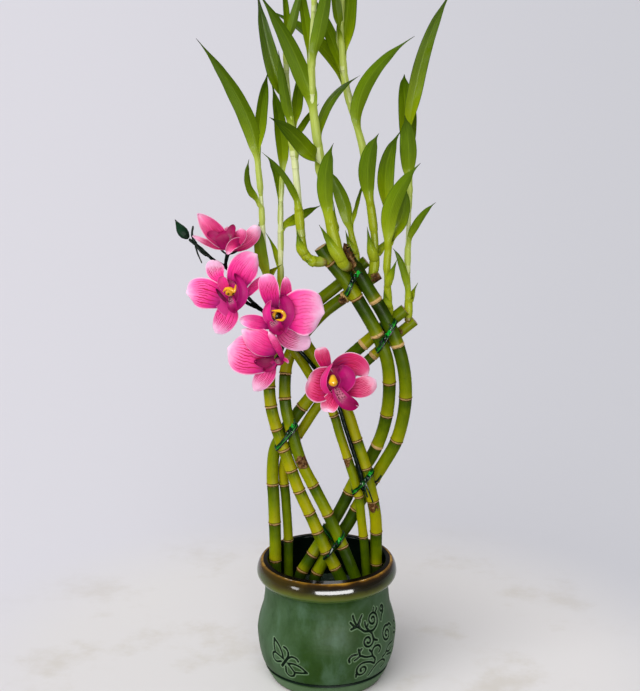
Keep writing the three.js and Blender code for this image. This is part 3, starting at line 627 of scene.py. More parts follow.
# Each cane has the radii of its foot and its top, the heights of its rings, which of them are wide,
# a tone for each length between rings from 0, yellow, to 1, dark green, and the line that it grew
# along. A stub is how much of its top is cut thinner.
canes = {
    "cane_a": {
        "radii": [5.5, 5.5], "rings": [113, 150, 188, 262, 321], "wide": [4],
        "tones": [0.5, 0.4, 0.4, 0.42, 0.5, 0.42],
        "line": [
            [-40, 4, 20], [-45, 4, 60], [-48, 4, 98], [-48, 4, 133], [-49, 5, 172], [-50, 6, 201],
            [-47, 6, 224], [-37, 6, 241], [-22, 6, 263], [-2, 6, 288], [20, 6, 310], [39, 6, 327],
            [58, 6, 344], [70, 6, 354],
        ],
    },
    "cane_b": {
        "radii": [4.2, 4.6], "rings": [130, 186, 234, 310], "wide": [3],
        "tones": [0.42, 0.42, 0.2, 0.35, 0.24],
        "line": [
            [-30, 16, 20], [-34, 14, 60], [-36, 13, 95], [-36, 12, 130], [-38, 10, 171],
            [-40, 9, 204], [-34, 9, 222], [-22, 9, 241], [-5, 9, 267], [13, 9, 285], [33, 9, 302],
            [52, 9, 320], [67, 9, 333], [79, 9, 343],
        ],
    },
    "cane_c": {
        "radii": [5.2, 6.1], "rings": [103, 118, 179, 225, 257, 289, 334, 368, 400], "wide": [3, 6],
        "tones": [0.8, 0.72, 0.62, 0.45, 0.48, 0.42, 0.45, 0.7, 0.55, 0.85],
        "line": [
            [-22, 0, 20], [-25, 1, 60], [-25, 2, 97], [-16, 4, 114], [-5, 6, 132], [6, 7, 150],
            [16, 7, 169], [27, 7, 193], [41, 8, 214], [50, 4, 237], [55, -1, 263], [56, -5, 290],
            [53, -8, 313], [44, -8, 336], [29, -8, 363], [14, -8, 387], [0, -8, 405], [-6, -8, 414],
        ],
    },
    "cane_d": {
        "radii": [5.5, 6], "stub": 22, "rings": [100, 162, 192, 231, 274, 324, 365], "wide": [5, 6],
        "tones": [0.72, 0.6, 0.5, 0.38, 0.42, 0.55, 0.8, 1.0],
        "line": [
            [-6, 6, 20], [-9, 5, 60], [-11, 4, 94], [-2, 6, 113], [9, 8, 131], [20, 8, 148],
            [31, 8, 170], [41, 8, 188], [52, 7, 207], [63, 4, 229], [69, 1, 253], [71, -2, 276],
            [69, -5, 301], [62, -6, 327], [50, -6, 353], [35, -6, 378], [23, -6, 400],
            [16, -6, 414],
        ],
    },
    "cane_e": {
        "radii": [5.8, 5.1], "rings": [111, 127, 146, 164, 186, 206, 226, 246, 267, 284],
        "tones": [0.5, 0.3, 0.3, 0.12, 0.05, 0.1, 0.08, 0.16, 0.14, 0.2, 0.42],
        "line": [
            [20, -16, 20], [19, -14, 60], [16, -11, 92], [7, -9, 113], [-2, -8, 131],
            [-14, -7, 160], [-26, -7, 188], [-36, -7, 217], [-44, -7, 241], [-50, -7, 265],
            [-52, -3, 286], [-50, 2, 306], [-41, 5, 326], [-26, 7, 345], [-7, 8, 362], [10, 8, 376],
            [23, 8, 388], [35, 8, 398],
        ],
    },
    "cane_f": {
        "radii": [5.2, 5.4], "rings": [132, 164, 192, 245, 274, 296, 365], "wide": [6],
        "tones": [0.62, 0.5, 0.42, 0.4, 0.5, 0.5, 0.3, 0.4],
        "line": [
            [33, -14, 20], [32, -14, 60], [29, -12, 94], [22, -10, 114], [13, -9, 136],
            [1, -9, 164], [-12, -9, 191], [-23, -9, 214], [-31, -8, 241], [-37, -6, 265],
            [-38, -2, 286], [-36, 2, 305], [-30, 4, 319], [-16, 6, 337], [-2, 6, 352], [18, 6, 367],
            [31, 6, 376.5], [46, 6, 387],
        ],
    },
    "cane_g": {
        "radii": [5.5, 5.5], "rings": [109, 143, 176, 208, 235],
        "tones": [0.7, 0.5, 0.12, 0.22, 0.2, 0.25],
        "line": [
            [40, 10, 20], [44, 9, 60], [46, 8, 95], [46, 4, 125], [45, -3, 158], [40, -7, 187],
            [34, -7, 212], [26, -7, 237], [18, -7, 262], [6, -7, 285], [-12, -7, 314],
            [-26, -7, 337], [-37, -7, 357], [-41, -7, 364],
        ],
    },
    "cane_h": {
        "radii": [4.1, 4.2], "rings": [140, 181, 218, 259], "tones": [0.46, 0.2, 0.28, 0.22, 0.28],
        "line": [
            [34, 2, 20], [36, 2, 60], [37, 1, 98], [35, -2, 128], [32, -6, 156], [29, -8, 182],
            [21, -8, 211], [12, -8, 240], [5, -8, 263], [-6, -8, 281], [-23, -8, 310],
            [-37, -8, 331], [-50, -8, 351], [-54, -8, 359],
        ],
    },
}

# Scars of torn bark on the canes: where each is, and how far it reaches.
scars = {
    "cane_h": [([17, -12.5, 214], 6)],
    "cane_g": [([42, -11, 170], 9)],
    "cane_a": [([50, 1, 336], 8)],
    "cane_b": [([62, 4.5, 333], 8)],
    "cane_d": [([15, -8, 413], 9), ([18, -9, 406], 9), ([20, -10, 398], 8), ([24, -12, 390], 4)],
    "cane_e": [([24, 4, 391], 4)],
    "cane_f": [([-22, -14, 216], 11), ([45, 2, 384], 9), ([14, 0.5, 363], 6)],
}


def swept_line():
    """A round section swept along a line of points, by the radius stored on each point."""
    sweep = Growth("swept_line", {"Sides": "NodeSocketInt", "Finish": "NodeSocketMaterial"})
    section = sweep.node("GeometryNodeCurvePrimitiveCircle", sockets={
        "Resolution": sweep.inputs["Sides"], "Radius": 1.0,
    })
    marked = sweep.node("GeometryNodeStoreNamedAttribute", {"data_type": "FLOAT_VECTOR"}, {
        "Geometry": section, "Name": "round", "Value": sweep.node("GeometryNodeInputPosition"),
    })
    line = sweep.node("GeometryNodeMeshToCurve", sockets=[sweep.inputs["Geometry"]])
    tube = sweep.node("GeometryNodeCurveToMesh", sockets={
        "Curve": line, "Profile Curve": marked, "Scale": sweep.stored("radius"), "Fill Caps": True,
    })
    sweep.finish(tube, sweep.inputs["Finish"])
    return sweep


sweep = swept_line()


def rod(name, points, radius, sides, finish, marks, sharp=40):
    """A round piece along points in millimetres, with a radius and other marks on each of them."""
    mesh = bpy.data.meshes.new(name)
    mesh.from_pydata((points * mm).tolist(), [(i, i + 1) for i in range(len(points) - 1)], [])
    set_marks(mesh, {"radius": np.asarray(radius) * mm, **marks})
    swept = sweep.grow(name, mesh, {"Sides": sides, "Finish": finish})
    swept.data.set_sharp_from_angle(angle=math.radians(sharp))
    return swept


def lengths(points):
    """How far along the line each of its points lies."""
    return np.concatenate([[0], np.cumsum(np.linalg.norm(np.diff(points, axis=0), axis=1))])


def on_section(finish):
    """The place on a rod's round section, of radius 1."""
    return finish.node("ShaderNodeAttribute", {"attribute_name": "round"}, output="Vector")


def drawn_out(finish, round_scale, reach_scale):
    """Places that draw a pattern out into fibres along a rod."""
    reach = finish.node("ShaderNodeCombineXYZ", sockets={"Z": finish.mark("reach") * reach_scale})
    return finish.node("ShaderNodeVectorMath", {"operation": "MULTIPLY_ADD"}, {
        0: on_section(finish), 1: (round_scale,) * 3, 2: reach,
    })


def cane_finish():
    cane = Finish("cane_skin", Specular_IOR_Level=0.015,
                  Coat_Roughness=0.25, Coat_Weight=0.02, Coat_IOR=1.3)
    where = cane.place()
    fibres = cane.noise(drawn_out(cane, 6.0, 90), 1.6, 4, 0.6)
    blotches = cane.noise(where, 70, 3)
    specks = cane.noise(where, 620, 2, 0.5)
    part = cane.mark("part")
    tone = cane.mark("tone") + (part - 0.5) * 0.6 + (blotches - 0.5) * 0.42 + (fibres - 0.5) * 0.3
    skin = cane.ramp(tone, [
        (0, "#9c9805"), (1, "#1b2802"), (0.2, "#868c02"), (0.4, "#6c7b02"), (0.62, "#4c6002"),
        (0.82, "#304602"),
    ])
    skin = cane.blend(cane.rise(specks, 0.66, 0.74) * 0.55, skin, "#3d3d08")
    ring = cane.mark("ring") + (cane.noise(where, 260, 2) - 0.5) * 0.9
    over = cane.mark("over")
    below = (1 - cane.rise(ring, 0.6, 9)) * (1 - over)
    skin = cane.blend(below * cane.rise(fibres, 0.3, 0.65) * 0.8, skin, "#2c4406")
    above = (1 - cane.rise(ring, 2, 9)) * over
    skin = cane.blend(above * 0.3, skin, "#a39c14")
    patches = cane.noise(where, 330, 2)
    brown = 1 - cane.rise(ring, 1.1, 1.8)
    rim = cane.blend(cane.rise(patches, 0.4, 0.65), "#351a08", "#6b431a")
    skin = cane.blend(brown * 0.92, skin, rim)
    wide = cane.mark("wide")
    cream = 1 - cane.rise(ring, 0.4 + wide * 1.3, 0.9 + wide * 1.5)
    cream = cream * cane.rise(patches, 0.26, 0.4)
    skin = cane.blend(cream * (0.85 + wide * 0.15), skin, "#c9a56a")
    torn = (blotches - 0.5) * 0.5 + (patches - 0.5) * 1.1
    scar = cane.rise(cane.mark("scar") + torn, 0.3, 0.45)
    bark = cane.ramp(cane.noise(where, 330, 4, 0.7), [
        (0.36, "#1e1008"), (0.78, "#c0a26e"), (0.5, "#573619"), (0.64, "#8a6a40"),
    ])
    skin = cane.blend(scar, skin, bark)
    wood = cane.ramp(cane.noise(where, 700, 3, 0.7), [(0.3, "#7d5c33"), (0.7, "#cdb07c")])
    wood = cane.blend(cane.rise(cane.mark("core"), 0.8, 0.98), wood, "#5d3c1c")
    skin = cane.blend(cane.rise(cane.mark("sawn"), 0.3, 0.7), skin, wood)
    dull = cane.maths("MINIMUM", scar + brown * 0.6, 1.0)
    roughness = 0.3 + blotches * 0.14 + dull * 0.35
    relief = fibres * 0.35 + scar * patches * 2.4 - brown * 0.4 + specks * 0.1
    return cane.done(skin, roughness, relief, 0.00035)


cane_skin = cane_finish()
for name, cane in canes.items():
    fine = smooth_through(cane["line"], 0.3)
    along = lengths(fine)
    whole = along[-1]
    ring_places = np.interp(cane["rings"], fine[:, 2], along)
    gap = np.abs(along[:, None] - ring_places).min(1)
    kept = thinned(np.column_stack([fine, gap]), lambda place: (
        row_spacing_at_rings if place[3] < ring_room else row_spacing_between
    ))[:, :3]
    top, direction = kept[-1], kept[-1] - kept[-2]
    direction = direction / np.linalg.norm(direction)
    kept[-1] = top - direction * 0.3
    sawn = [top + direction * step for step, _ in sawn_top]
    places = np.concatenate([lengths(kept), [whole] * len(sawn)])
    signed = places[:, None] - ring_places
    nearest = np.abs(signed).argmin(1)
    ring = signed[np.arange(len(places)), nearest]

    # The cane flares to each ring from both sides, with a groove below its edge and a lip on it.
    flare = np.where(ring < 0, 0.4 * np.exp(ring / 2.2), 0.7 * np.exp(-ring / 3.2))
    groove = 0.9 * np.exp(-((ring + 0.9) / 0.55) ** 2)
    lip = 0.5 * np.exp(-((ring - 0.2) / 0.6) ** 2)
    core = np.concatenate([np.ones(len(kept)), [share for _, share in sawn_top]])
    radius = np.interp(places, [0, whole], cane["radii"]) * core
    if "stub" in cane:
        stub = whole - cane["stub"]
        radius = radius * (1 - stub_thinning * smoothstep(stub, stub + stub_shoulder, places))
    radius = radius + ring_relief * (flare - groove + lip) * (core == 1)
    cell = (signed > 0).sum(1)
    bounds = np.concatenate([[0], ring_places, [whole + 20]])
    marks = {
        "reach": places * mm,
        "ring": np.clip(np.abs(ring), 0, 12),
        "over": (ring > 0).astype(float),
        "wide": np.isin(nearest, cane.get("wide", [])).astype(float) * (ring > -1.2),
        "tone": np.array(cane["tones"])[cell],
        "part": (places - bounds[cell]) / (bounds[cell + 1] - bounds[cell]),
        "sawn": (places >= whole - 0.01).astype(float),
        "core": core,
    }
    stem = rod(f"{name}_stem", np.vstack([kept, sawn]), radius, cane_sides, cane_skin, marks)
    surface = np.array([v.co for v in stem.data.vertices]) / mm
    scarred = np.zeros(len(surface))
    for place, size in scars.get(name, []):
        scarred = np.maximum(scarred, 1 - np.linalg.norm(surface - place, axis=1) / size)
    set_marks(stem.data, {"scar": scarred})
    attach(stem, "root")
    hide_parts(name)


# Shoots: a green stem at the top of each cane, wrapped in the sheaths of its strap leaves. A leaf
# opens out of its sheath as a channel, spreads into a shallow fold and ends in a fine dark tip.
# Stem and leaves grow as one.

leaf_fold = 0.44
leaf_thickness = 0.5
leaf_widest = 0.42
short_leaf = 46
sheath_wrap = math.radians(128)
sheath_swelling = 0.35
stem_sides = 18
pale_above = 450

# Each shoot has the radii of its stem's foot and top, and its leaves. A leaf is [height of its
# root, bend, tip, width, turn]. A young shoot is yellow-green all the way up, and the others turn
# pale above the height pale_above.
shoots = {
    "shoot_a": {
        "radii": [3, 1.5], "young": 1,
        "stem": [
            [56, 4, 347], [55, 2, 360], [53, 0, 382], [53, 0, 399], [54, 0, 414], [55, -1, 441],
            [54, -2, 454],
        ],
        "leaves": [
            [357, [52, -4, 365], [50, -7, 375], 7, 0],
            [376, [57, -8, 391], [61, -14, 404], 7, 10],
            [410, [57, -13, 454], [79, -30, 491], 15, 5],
            [413, [66, 8, 439], [69, 12, 465], 12, 15],
            [434, [51, 8, 477], [64, 16, 512], 15, 10],
        ],
    },
    "shoot_b": {
        "radii": [2.8, 1.4], "pale_above": 400,
        "stem": [
            [73, 8, 341], [73, 10, 362], [72, 14, 384], [72, 18, 406], [73, 21, 450], [72, 22, 468],
            [71, 22, 481],
        ],
        "leaves": [
            [362, [68, 8, 391], [58, 6, 410], 7, 15],
            [359, [77, 8, 370], [81, 5, 379], 4, 10],
            [407, [80, 12, 432], [95, 0, 452], 7, 10],
            [464, [71, 14, 500], [67, 6, 527], 15, 0],
            [478, [68, 30, 533], [68, 40, 559], 13, 10],
            [480, [80, 16, 566], [106, 2, 634], 13, 5],
            [474, [76, 34, 515], [76, 46, 536], 6, 20],
        ],
    },
    "shoot_c": {
        "radii": [4.1, 1.4],
        "stem": [
            [0, -9, 402], [-10, -13, 402], [-19, -15, 408], [-22, -14, 420], [-24, -13, 439],
            [-27, -10, 478], [-31, -8, 523], [-35, -6, 571], [-35, -5, 592],
        ],
        "leaves": [
            [403, [-15.5, -18, 402.5], [-20, -19, 407], 6, 0],
            [409, [-24, -19, 419], [-26, -20, 431], 9, 0],
            [446, [-34, -26, 476], [-55, -42, 502], 7, 20],
            [516, [-36, -16, 547], [-41, -26, 585], 9, 10],
            [526, [-47, -12, 574], [-59, -16, 635], 14, 0],
            [514, [-26, 4, 540], [-24, 18, 565], 10, 15],
            [505, [-20, 4, 521], [-7, 18, 536], 6, 30],
            [586, [-35, 2, 612], [-39, 12, 645], 6, 20],
            [588, [-29, -8, 609], [-20, -12, 643], 8, 10],
        ],
    },
    "shoot_d": {
        "radii": [4.6, 1.7],
        "stem": [
            [18, -11, 397], [14.5, -16, 400], [11.5, -18, 406], [6.5, -18, 421], [3, -18, 437],
            [-3, -16, 470], [-8, -15, 504], [-13, -15, 544], [-14, -15, 568], [-13, -15, 593],
            [-10, -15, 642],
        ],
        "leaves": [
            [404, [4, -25, 419], [-7, -31, 438], 13, 0],
            [436, [-2, -28, 476], [5, -38, 509], 14, 0],
            [428, [6, -6, 441], [5, -2, 455], 4, 40],
            [479, [-24, -32, 511], [-48, -56, 533], 15, -35],
            [527, [-26, -26, 579], [-57, -50, 634], 16, 10],
            [500, [0, -6, 536], [28, -2, 562], 8, 20],
            [572, [-19, -6, 609], [-27, 8, 657], 9, 15],
            [569, [-5, -24, 610], [4, -36, 658], 12, 10],
            [638, [-9, -15, 666], [-5, -12, 702], 9, 20],
        ],
    },
    "shoot_e": {
        "radii": [2.8, 1.6], "young": 1,
        "stem": [
            [27, 8, 391], [25, 9, 405], [22, 10, 418], [20, 10, 427],
        ],
        "leaves": [
            [404, [20, 4, 414], [16, 1, 427], 7, 0],
            [420, [14, 8, 453], [0, 4, 482], 13, 10],
            [423, [26, 18, 448], [33, 26, 466], 5, 50],
        ],
    },
    "shoot_f": {
        "radii": [3.6, 1.6], "young": 1,
        "stem": [
            [40, 6, 382], [42, 7, 395], [42, 7, 417], [40, 7, 435], [35, 8, 470], [31, 8, 498],
            [26, 8, 516], [21, 8, 533], [17, 8, 548], [14, 8, 566], [12, 8, 608], [13, 8, 633],
        ],
        "leaves": [
            [398, [38, 0, 414], [35, -3, 431], 8, 0],
            [403, [50, 11, 412], [55, 15, 421], 5, 20],
            [447, [35, -5, 486], [44, -14, 514], 15, 5],
            [505, [32, -4, 554], [72, -32, 597], 13, 5],
            [547, [-8, 22, 587], [-52, 44, 614], 13, 15],
            [559, [3, 16, 592], [-14, 30, 630], 12, 10],
            [574, [17, 16, 614], [23, 28, 669], 16, 5],
            [587, [7, 2, 620], [2, -8, 666], 9, 20],
            [628, [12, 9, 657], [9, 6, 694], 9, 20],
        ],
    },
    "shoot_g": {
        "radii": [2.6, 1.5], "pale_above": 400,
        "stem": [
            [-40, -7, 358], [-41, -5, 374], [-41, -1, 399], [-41, 2, 418], [-41, 4, 440],
            [-40, 5, 462], [-39, 6, 478],
        ],
        "leaves": [
            [393, [-47, 8, 409], [-55, 18, 422], 6, 20],
            [425, [-27, 16, 435], [-5, 36, 443], 9, 20],
            [446, [-44, 16, 469], [-53, 32, 487], 7, 20],
            [474, [-41, 16, 513], [-49, 34, 553], 12, 15],
        ],
    },
    "shoot_h": {
        "radii": [2.8, 1.5], "pale_above": 400,
        "stem": [
            [-52, -8, 353], [-52, -9, 380], [-54, -11, 401], [-56, -12, 425], [-57, -12, 452],
            [-59, -12, 478], [-61, -12, 495],
        ],
        "leaves": [
            [380, [-58, -17, 413], [-59, -19, 438], 11, 0],
            [387, [-46, -14, 395], [-39, -20, 401], 4, 20],
            [449, [-67, -24, 472], [-66, -40, 496], 7, 30],
            [484, [-71, -20, 536], [-108, -44, 596], 15, 10],
            [487, [-57, -4, 531], [-51, 12, 564], 11, 25],
        ],
    },
}


def unit(vectors):
    """The vectors made 1 long."""
    return vectors / np.linalg.norm(vectors, axis=-1, keepdims=True)


def turned_about(vectors, axes, angles):
    """Vectors turned about unit axes by angles in radians, row by row."""
    c, s = np.cos(angles)[:, None], np.sin(angles)[:, None]
    along = axes * (vectors * axes).sum(1)[:, None]
    return vectors * c + np.cross(axes, vectors) * s + along * (1 - c)


def across_from(vectors, axes):
    """What is left of vectors at right angles to unit axes, row by row."""
    return vectors - axes * (vectors * axes).sum(1)[:, None]


def bowed(root, bend, tip, v):
    """Points at shares v of the curve from root to tip that passes bend, and their directions."""
    control = 2 * bend - 0.5 * root - 0.5 * tip
    points = (1 - v) ** 2 * root + 2 * v * (1 - v) * control + v**2 * tip
    return points, 2 * (1 - v) * (control - root) + 2 * v * (tip - control)


class Sheets:
    """Thin closed sheets gathered for one mesh, with marks on their points."""

    def __init__(self):
        self.points, self.faces, self.marks = [], [], {}

    def add(self, middle, half, **marks):
        """One sheet from a grid of points in its middle and half its thickness."""
        rows, columns, _ = middle.shape
        first, count = sum(map(len, self.points)), rows * columns
        normal = unit(np.cross(np.gradient(middle, axis=0), np.gradient(middle, axis=1)))
        offset = normal * np.broadcast_to(half, (rows, columns))[..., None]
        self.points += [(middle + offset).reshape(-1, 3), (middle - offset).reshape(-1, 3)]
        grid = first + np.arange(count).reshape(rows, columns)
        a, b, c, d = grid[:-1, :-1], grid[:-1, 1:], grid[1:, 1:], grid[1:, :-1]
        self.faces += np.stack([a, d, c, b], 2).reshape(-1, 4).tolist()
        self.faces += (np.stack([a, b, c, d], 2).reshape(-1, 4) + count).tolist()
        rim = [*grid[0, :-1], *grid[:-1, -1], *grid[-1, :0:-1], *grid[:0:-1, 0]]
        self.faces += [(p, q, q + count, p + count) for p, q in zip(rim, rim[1:] + rim[:1])]
        marks = {mark: np.tile(np.broadcast_to(values, (rows, columns)).ravel(), 2)
                 for mark, values in marks.items()}
        marks["under"] = np.repeat([0.0, 1.0], count)
        for mark, values in marks.items():
            self.marks.setdefault(mark, []).append(values)

    def piece(self, name, finish, sharp=60):
        marks = {mark: np.concatenate(values) for mark, values in self.marks.items()}
        return piece_from(name, np.vstack(self.points), self.faces, finish, marks, sharp)


def leaf_width(along):
    """Half a leaf's width as a share of its widest: a narrow base and a long drawn-out tip."""
    rising = 0.34 + 0.66 * np.sin(np.clip(along / leaf_widest, 0, 1) * math.pi / 2)
    falling = 1 - np.clip((along - leaf_widest) / (1 - leaf_widest), 0, 1) ** 1.9
    drawn = 1 - 0.45 * smoothstep(0.78, 0.93, along)
    return np.maximum(0.02, np.where(along < leaf_widest, rising, falling) * drawn)


def add_leaf(sheets, stem, stem_radius, leaf, chance, pale_from):
    """One leaf with the sheath below it. stem is the line of points that the sheath wraps."""
    height, bend, tip, width, turn = leaf
    at = int(np.argmax(stem[:, 2] >= height))
    root, bend, tip = stem[at], np.array(bend, float), np.array(tip, float)
    short = np.linalg.norm(tip - root) < short_leaf
    sheath_length = min(9 + width * 1.1, 0.8 * (height - stem[0, 2]))
    below = lengths(stem)[at] - lengths(stem)
    wrapped = [i for i in range(at) if below[i] < sheath_length][::3]

    # The rib leaves along the stem and turns into the leaf's own curve.
    v = np.concatenate([np.linspace(0, 0.2, 13)[:-1], np.linspace(0.2, 1, 38)])
    rib, direction = bowed(root, bend, tip, v[:, None])
    stem_tangent = unit(np.gradient(stem, axis=0))
    toward = smoothstep(0, 0.12, v)[:, None]
    tangent = unit(unit(direction + 1e-6) * toward + stem_tangent[at] * (1 - toward))

    # The blade's inner side looks at the stem at its root, and turns to its own way further out.
    look = turned_about(np.array([[0, -0.85, 0.5]]), unit(tip - root)[None], np.radians([turn]))
    blade = np.cross(tangent, unit(np.cross(look, tangent)))
    away = across_from(rib[12:13] - root, stem_tangent[at:at + 1])
    start = unit(across_from(-away, tangent))
    angle = np.arctan2((np.cross(start, blade) * tangent).sum(1), (start * blade).sum(1))
    if abs(angle[-1]) > math.radians(115):
        angle = angle - math.pi * np.sign(angle)
    facing = turned_about(start, tangent, angle * smoothstep(0.02, 0.42, v))

    # The sheath's rows come first, and then the blade's.
    middle = np.vstack([stem[wrapped], rib])
    along_line = np.vstack([stem_tangent[wrapped], tangent])
    facing = unit(np.vstack([across_from(-away, stem_tangent[wrapped]), facing]))
    side = unit(np.cross(facing, along_line))
    v = np.concatenate([np.zeros(len(wrapped)), v])
    across = np.linspace(-1, 1, 13)[None, :]
    reach = width / 2 * (np.maximum(0.02, 1 - v**1.3) if short else leaf_width(v))[:, None]
    depth, pace, phase = chance.uniform(0.1, 0.32), chance.uniform(16, 26), chance.uniform(0, 6)
    ripple = depth * np.sin(v * pace + phase) * smoothstep(0.25, 0.5, v) * width / 10
    fold = reach * leaf_fold * (1 - 0.5 * smoothstep(0.6, 1, v)[:, None])
    lift = np.sqrt(across**2 + 0.012) * fold + ripple[:, None] * across**2 * np.sign(across)
    radius = np.interp(v, [0, 0.3], [stem_radius[at] + 0.25, stem_radius[at] + 1.2])
    tuck = np.minimum(0.25, np.linspace(-0.3, 1.2, len(wrapped)))
    radius[:len(wrapped)] = stem_radius[wrapped] + tuck
    unwrapped = sheath_wrap * (0.7 if short else 0.45)
    wrap = np.interp(v, [0, 0.16], [sheath_wrap, unwrapped])[:, None] * across
    opened = smoothstep(0, 0.7 if short else 0.2, v)[:, None, None]
    flat = side[:, None] * (across * reach)[..., None] + facing[:, None] * lift[..., None]
    rolled = side[:, None] * np.sin(wrap)[..., None] - facing[:, None] * np.cos(wrap)[..., None]
    shape = rolled * radius[:, None, None] * (1 - opened) + flat * opened
    half = leaf_thickness / 2 * (1 - 0.75 * np.abs(across) ** 3)
    shade = chance.uniform(0, 1) - 1.2 * short - 0.8 * (height < 430)
    sheets.add(middle[:, None] + shape, np.minimum(half, 0.05 + reach * 0.6), across=across,
               along=v[:, None], wrapped=1 - opened[..., 0], shade=shade, low=height < pale_from)


def stem_finish():
    stem = Finish("shoot_stem", Specular_IOR_Level=0.03,
                  Coat_Weight=0.08, Coat_Roughness=0.22, Coat_IOR=1.35)
    where = stem.place()
    fibres = stem.noise(drawn_out(stem, 4.0, 60), 1.8, 3)
    clouds = stem.noise(where, 55, 3)
    reach = stem.mark("part")
    skin = stem.ramp(reach + (clouds - 0.5) * 0.3, [
        (0, "#98a51c"), (1, "#a0b440"), (0.12, "#b0bc44"), (0.4, "#dee4aa"), (0.75, "#d2db96"),
    ])
    young = stem.mark("young") * (1 - stem.rise(reach, 0.3, 0.8) * 0.6)
    skin = stem.blend(young * 0.95, skin, "#8c9a08")
    skin = stem.blend(stem.rise(fibres, 0.45, 0.7) * 0.3, skin, "#93a826")
    ring = stem.mark("ring")
    above = stem.rise(ring, 0.2, 1.2) * (1 - stem.rise(ring, 2, 12))
    skin = stem.blend(above * (0.5 - young * 0.35), skin, "#dde3a4")
    line = 1 - stem.rise(abs(ring), 0.2, 0.7)
    skin = stem.blend(line * 0.5, skin, "#7d7a2c")
    foot = 1 - stem.rise(stem.mark("reach") / mm + (clouds - 0.5) * 4, 3, 8)
    husk = stem.ramp(stem.noise(where, 420, 4, 0.7), [
        (0.35, "#4a2c12"), (0.7, "#a08448"), (0.55, "#6f5a22"),
    ])
    skin = stem.blend(foot * 0.85, skin, husk)
    return stem.done(skin, 0.36 + fibres * 0.14, fibres + foot * clouds * 2, 0.00015)


def leaf_finish():
    leaf = Finish("strap_leaf", Specular_IOR_Level=0.02,
                  Coat_Weight=0.05, Coat_Roughness=0.2, Coat_IOR=1.35)
    across, along, wrapped = leaf.mark("across"), leaf.mark("along"), leaf.mark("wrapped")
    where = leaf.place()
    clouds = leaf.noise(where, 45, 3)
    shade = leaf.mark("shade")
    stretched = leaf.node("ShaderNodeCombineXYZ", sockets=[across * 5, along * 2.2, shade * 40])
    streaks = leaf.noise(stretched, 2.2, 3, 0.6)
    level = along + (clouds - 0.5) * 0.18 + (shade - 0.5) * 0.16
    blade = leaf.ramp(level, [
        (0, "#aab826"), (1, "#1e2c06"), (0.1, "#9eae10"), (0.24, "#7e9202"), (0.45, "#5f7602"),
        (0.75, "#3f5802"), (0.93, "#283f02"),
    ])
    blade = leaf.blend(leaf.rise(streaks, 0.42, 0.68) * 0.35, blade, "#789808")
    veins = leaf.maths("SINE", across * 34) * 0.5 + 0.5
    blade = leaf.blend(veins * 0.2 * (1 - wrapped), blade, "#2e4c02")
    midrib = (1 - leaf.rise(abs(across), 0.02, 0.1)) * (1 - leaf.rise(along, 0.5, 0.95))
    blade = leaf.blend(midrib * 0.3, blade, "#8fa81c")
    edge = leaf.rise(abs(across), 0.86, 0.98) * leaf.rise(along, 0.08, 0.3)
    blade = leaf.blend(edge * 0.6, blade, "#24400a")
    blade = leaf.blend(leaf.mark("under") * 0.3 * (1 - wrapped), blade, "#6c8c16")
    sheath = leaf.blend(leaf.mark("low"), "#bccb66", "#96a012")
    blade = leaf.blend(wrapped * 0.7, blade, sheath)
    tip = leaf.rise(along, 0.965, 0.985)
    blade = leaf.blend(tip * 0.85, blade, "#2c2410")
    roughness = 0.3 + streaks * 0.16 + leaf.mark("under") * 0.15
    relief = veins * 0.6 + streaks * 0.5 - midrib * 0.8
    return leaf.done(blade, roughness, relief, 0.00018)


stem_skin, leaf_skin = stem_finish(), leaf_finish()
for index, (name, shoot) in enumerate(shoots.items()):
    chance = np.random.default_rng(20 + index)
    line = smooth_through(shoot["stem"], 0.8)
    along = lengths(line)
    share = along / along[-1]
    radius = np.interp(share, [0, 1], shoot["radii"])
    roots = sorted(np.interp(leaf[0], line[:, 2], along) for leaf in shoot["leaves"])
    ring = np.full(len(line), -30.0)
    for root in roots:
        start = max(2.0, root - 22)
        ring = np.where(along >= start, along - start, ring)
        swelling = smoothstep(start - 0.6, start, along) * smoothstep(root + 5, root - 3, along)
        radius = radius + sheath_swelling * swelling
    radius[-6:] *= [0.97, 0.9, 0.8, 0.66, 0.48, 0.2]
    marks = {"reach": along * mm, "part": share, "ring": np.clip(ring, -20, 40)}
    pale_from = shoot.get("pale_above", pale_above)
    young = smoothstep(pale_from + 5, pale_from - 25, line[:, 2])
    marks["young"] = np.maximum(shoot.get("young", 0), young)
    stem = rod(f"{name}_stem", line, radius, stem_sides, stem_skin, marks)
    sheets = Sheets()
    for leaf in shoot["leaves"]:
        add_leaf(sheets, line, radius, leaf, chance, pale_from)
    leaves = sheets.piece(f"{name}_leaves", leaf_skin)
    for grown in (stem, leaves):
        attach(grown, "root")
        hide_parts(name)


# Ties: a narrow green plastic ribbon with a dark wire along one edge. Each is wound once round two
# pairs of canes where they cross, and its ends are twisted shut in front.

tie_climb = 0.7
tie_gap = 1.15
tie_rows = 180
tie_half_width = 2.2
tie_section = [
    (-2.2, 0), (-2.05, 0.4), (-1.6, 0.55), (-1.15, 0.4), (-0.9, 0.15), (0.2, 0.3), (1.0, 0.15),
    (2.05, 0.2), (2.2, 0), (2.05, -0.15), (1.0, -0.15), (-0.9, -0.15), (-1.15, -0.35),
    (-1.6, -0.45), (-2.05, -0.35),
]
end_radius, end_spread, end_turns = 1.05, 1.15, 1.6

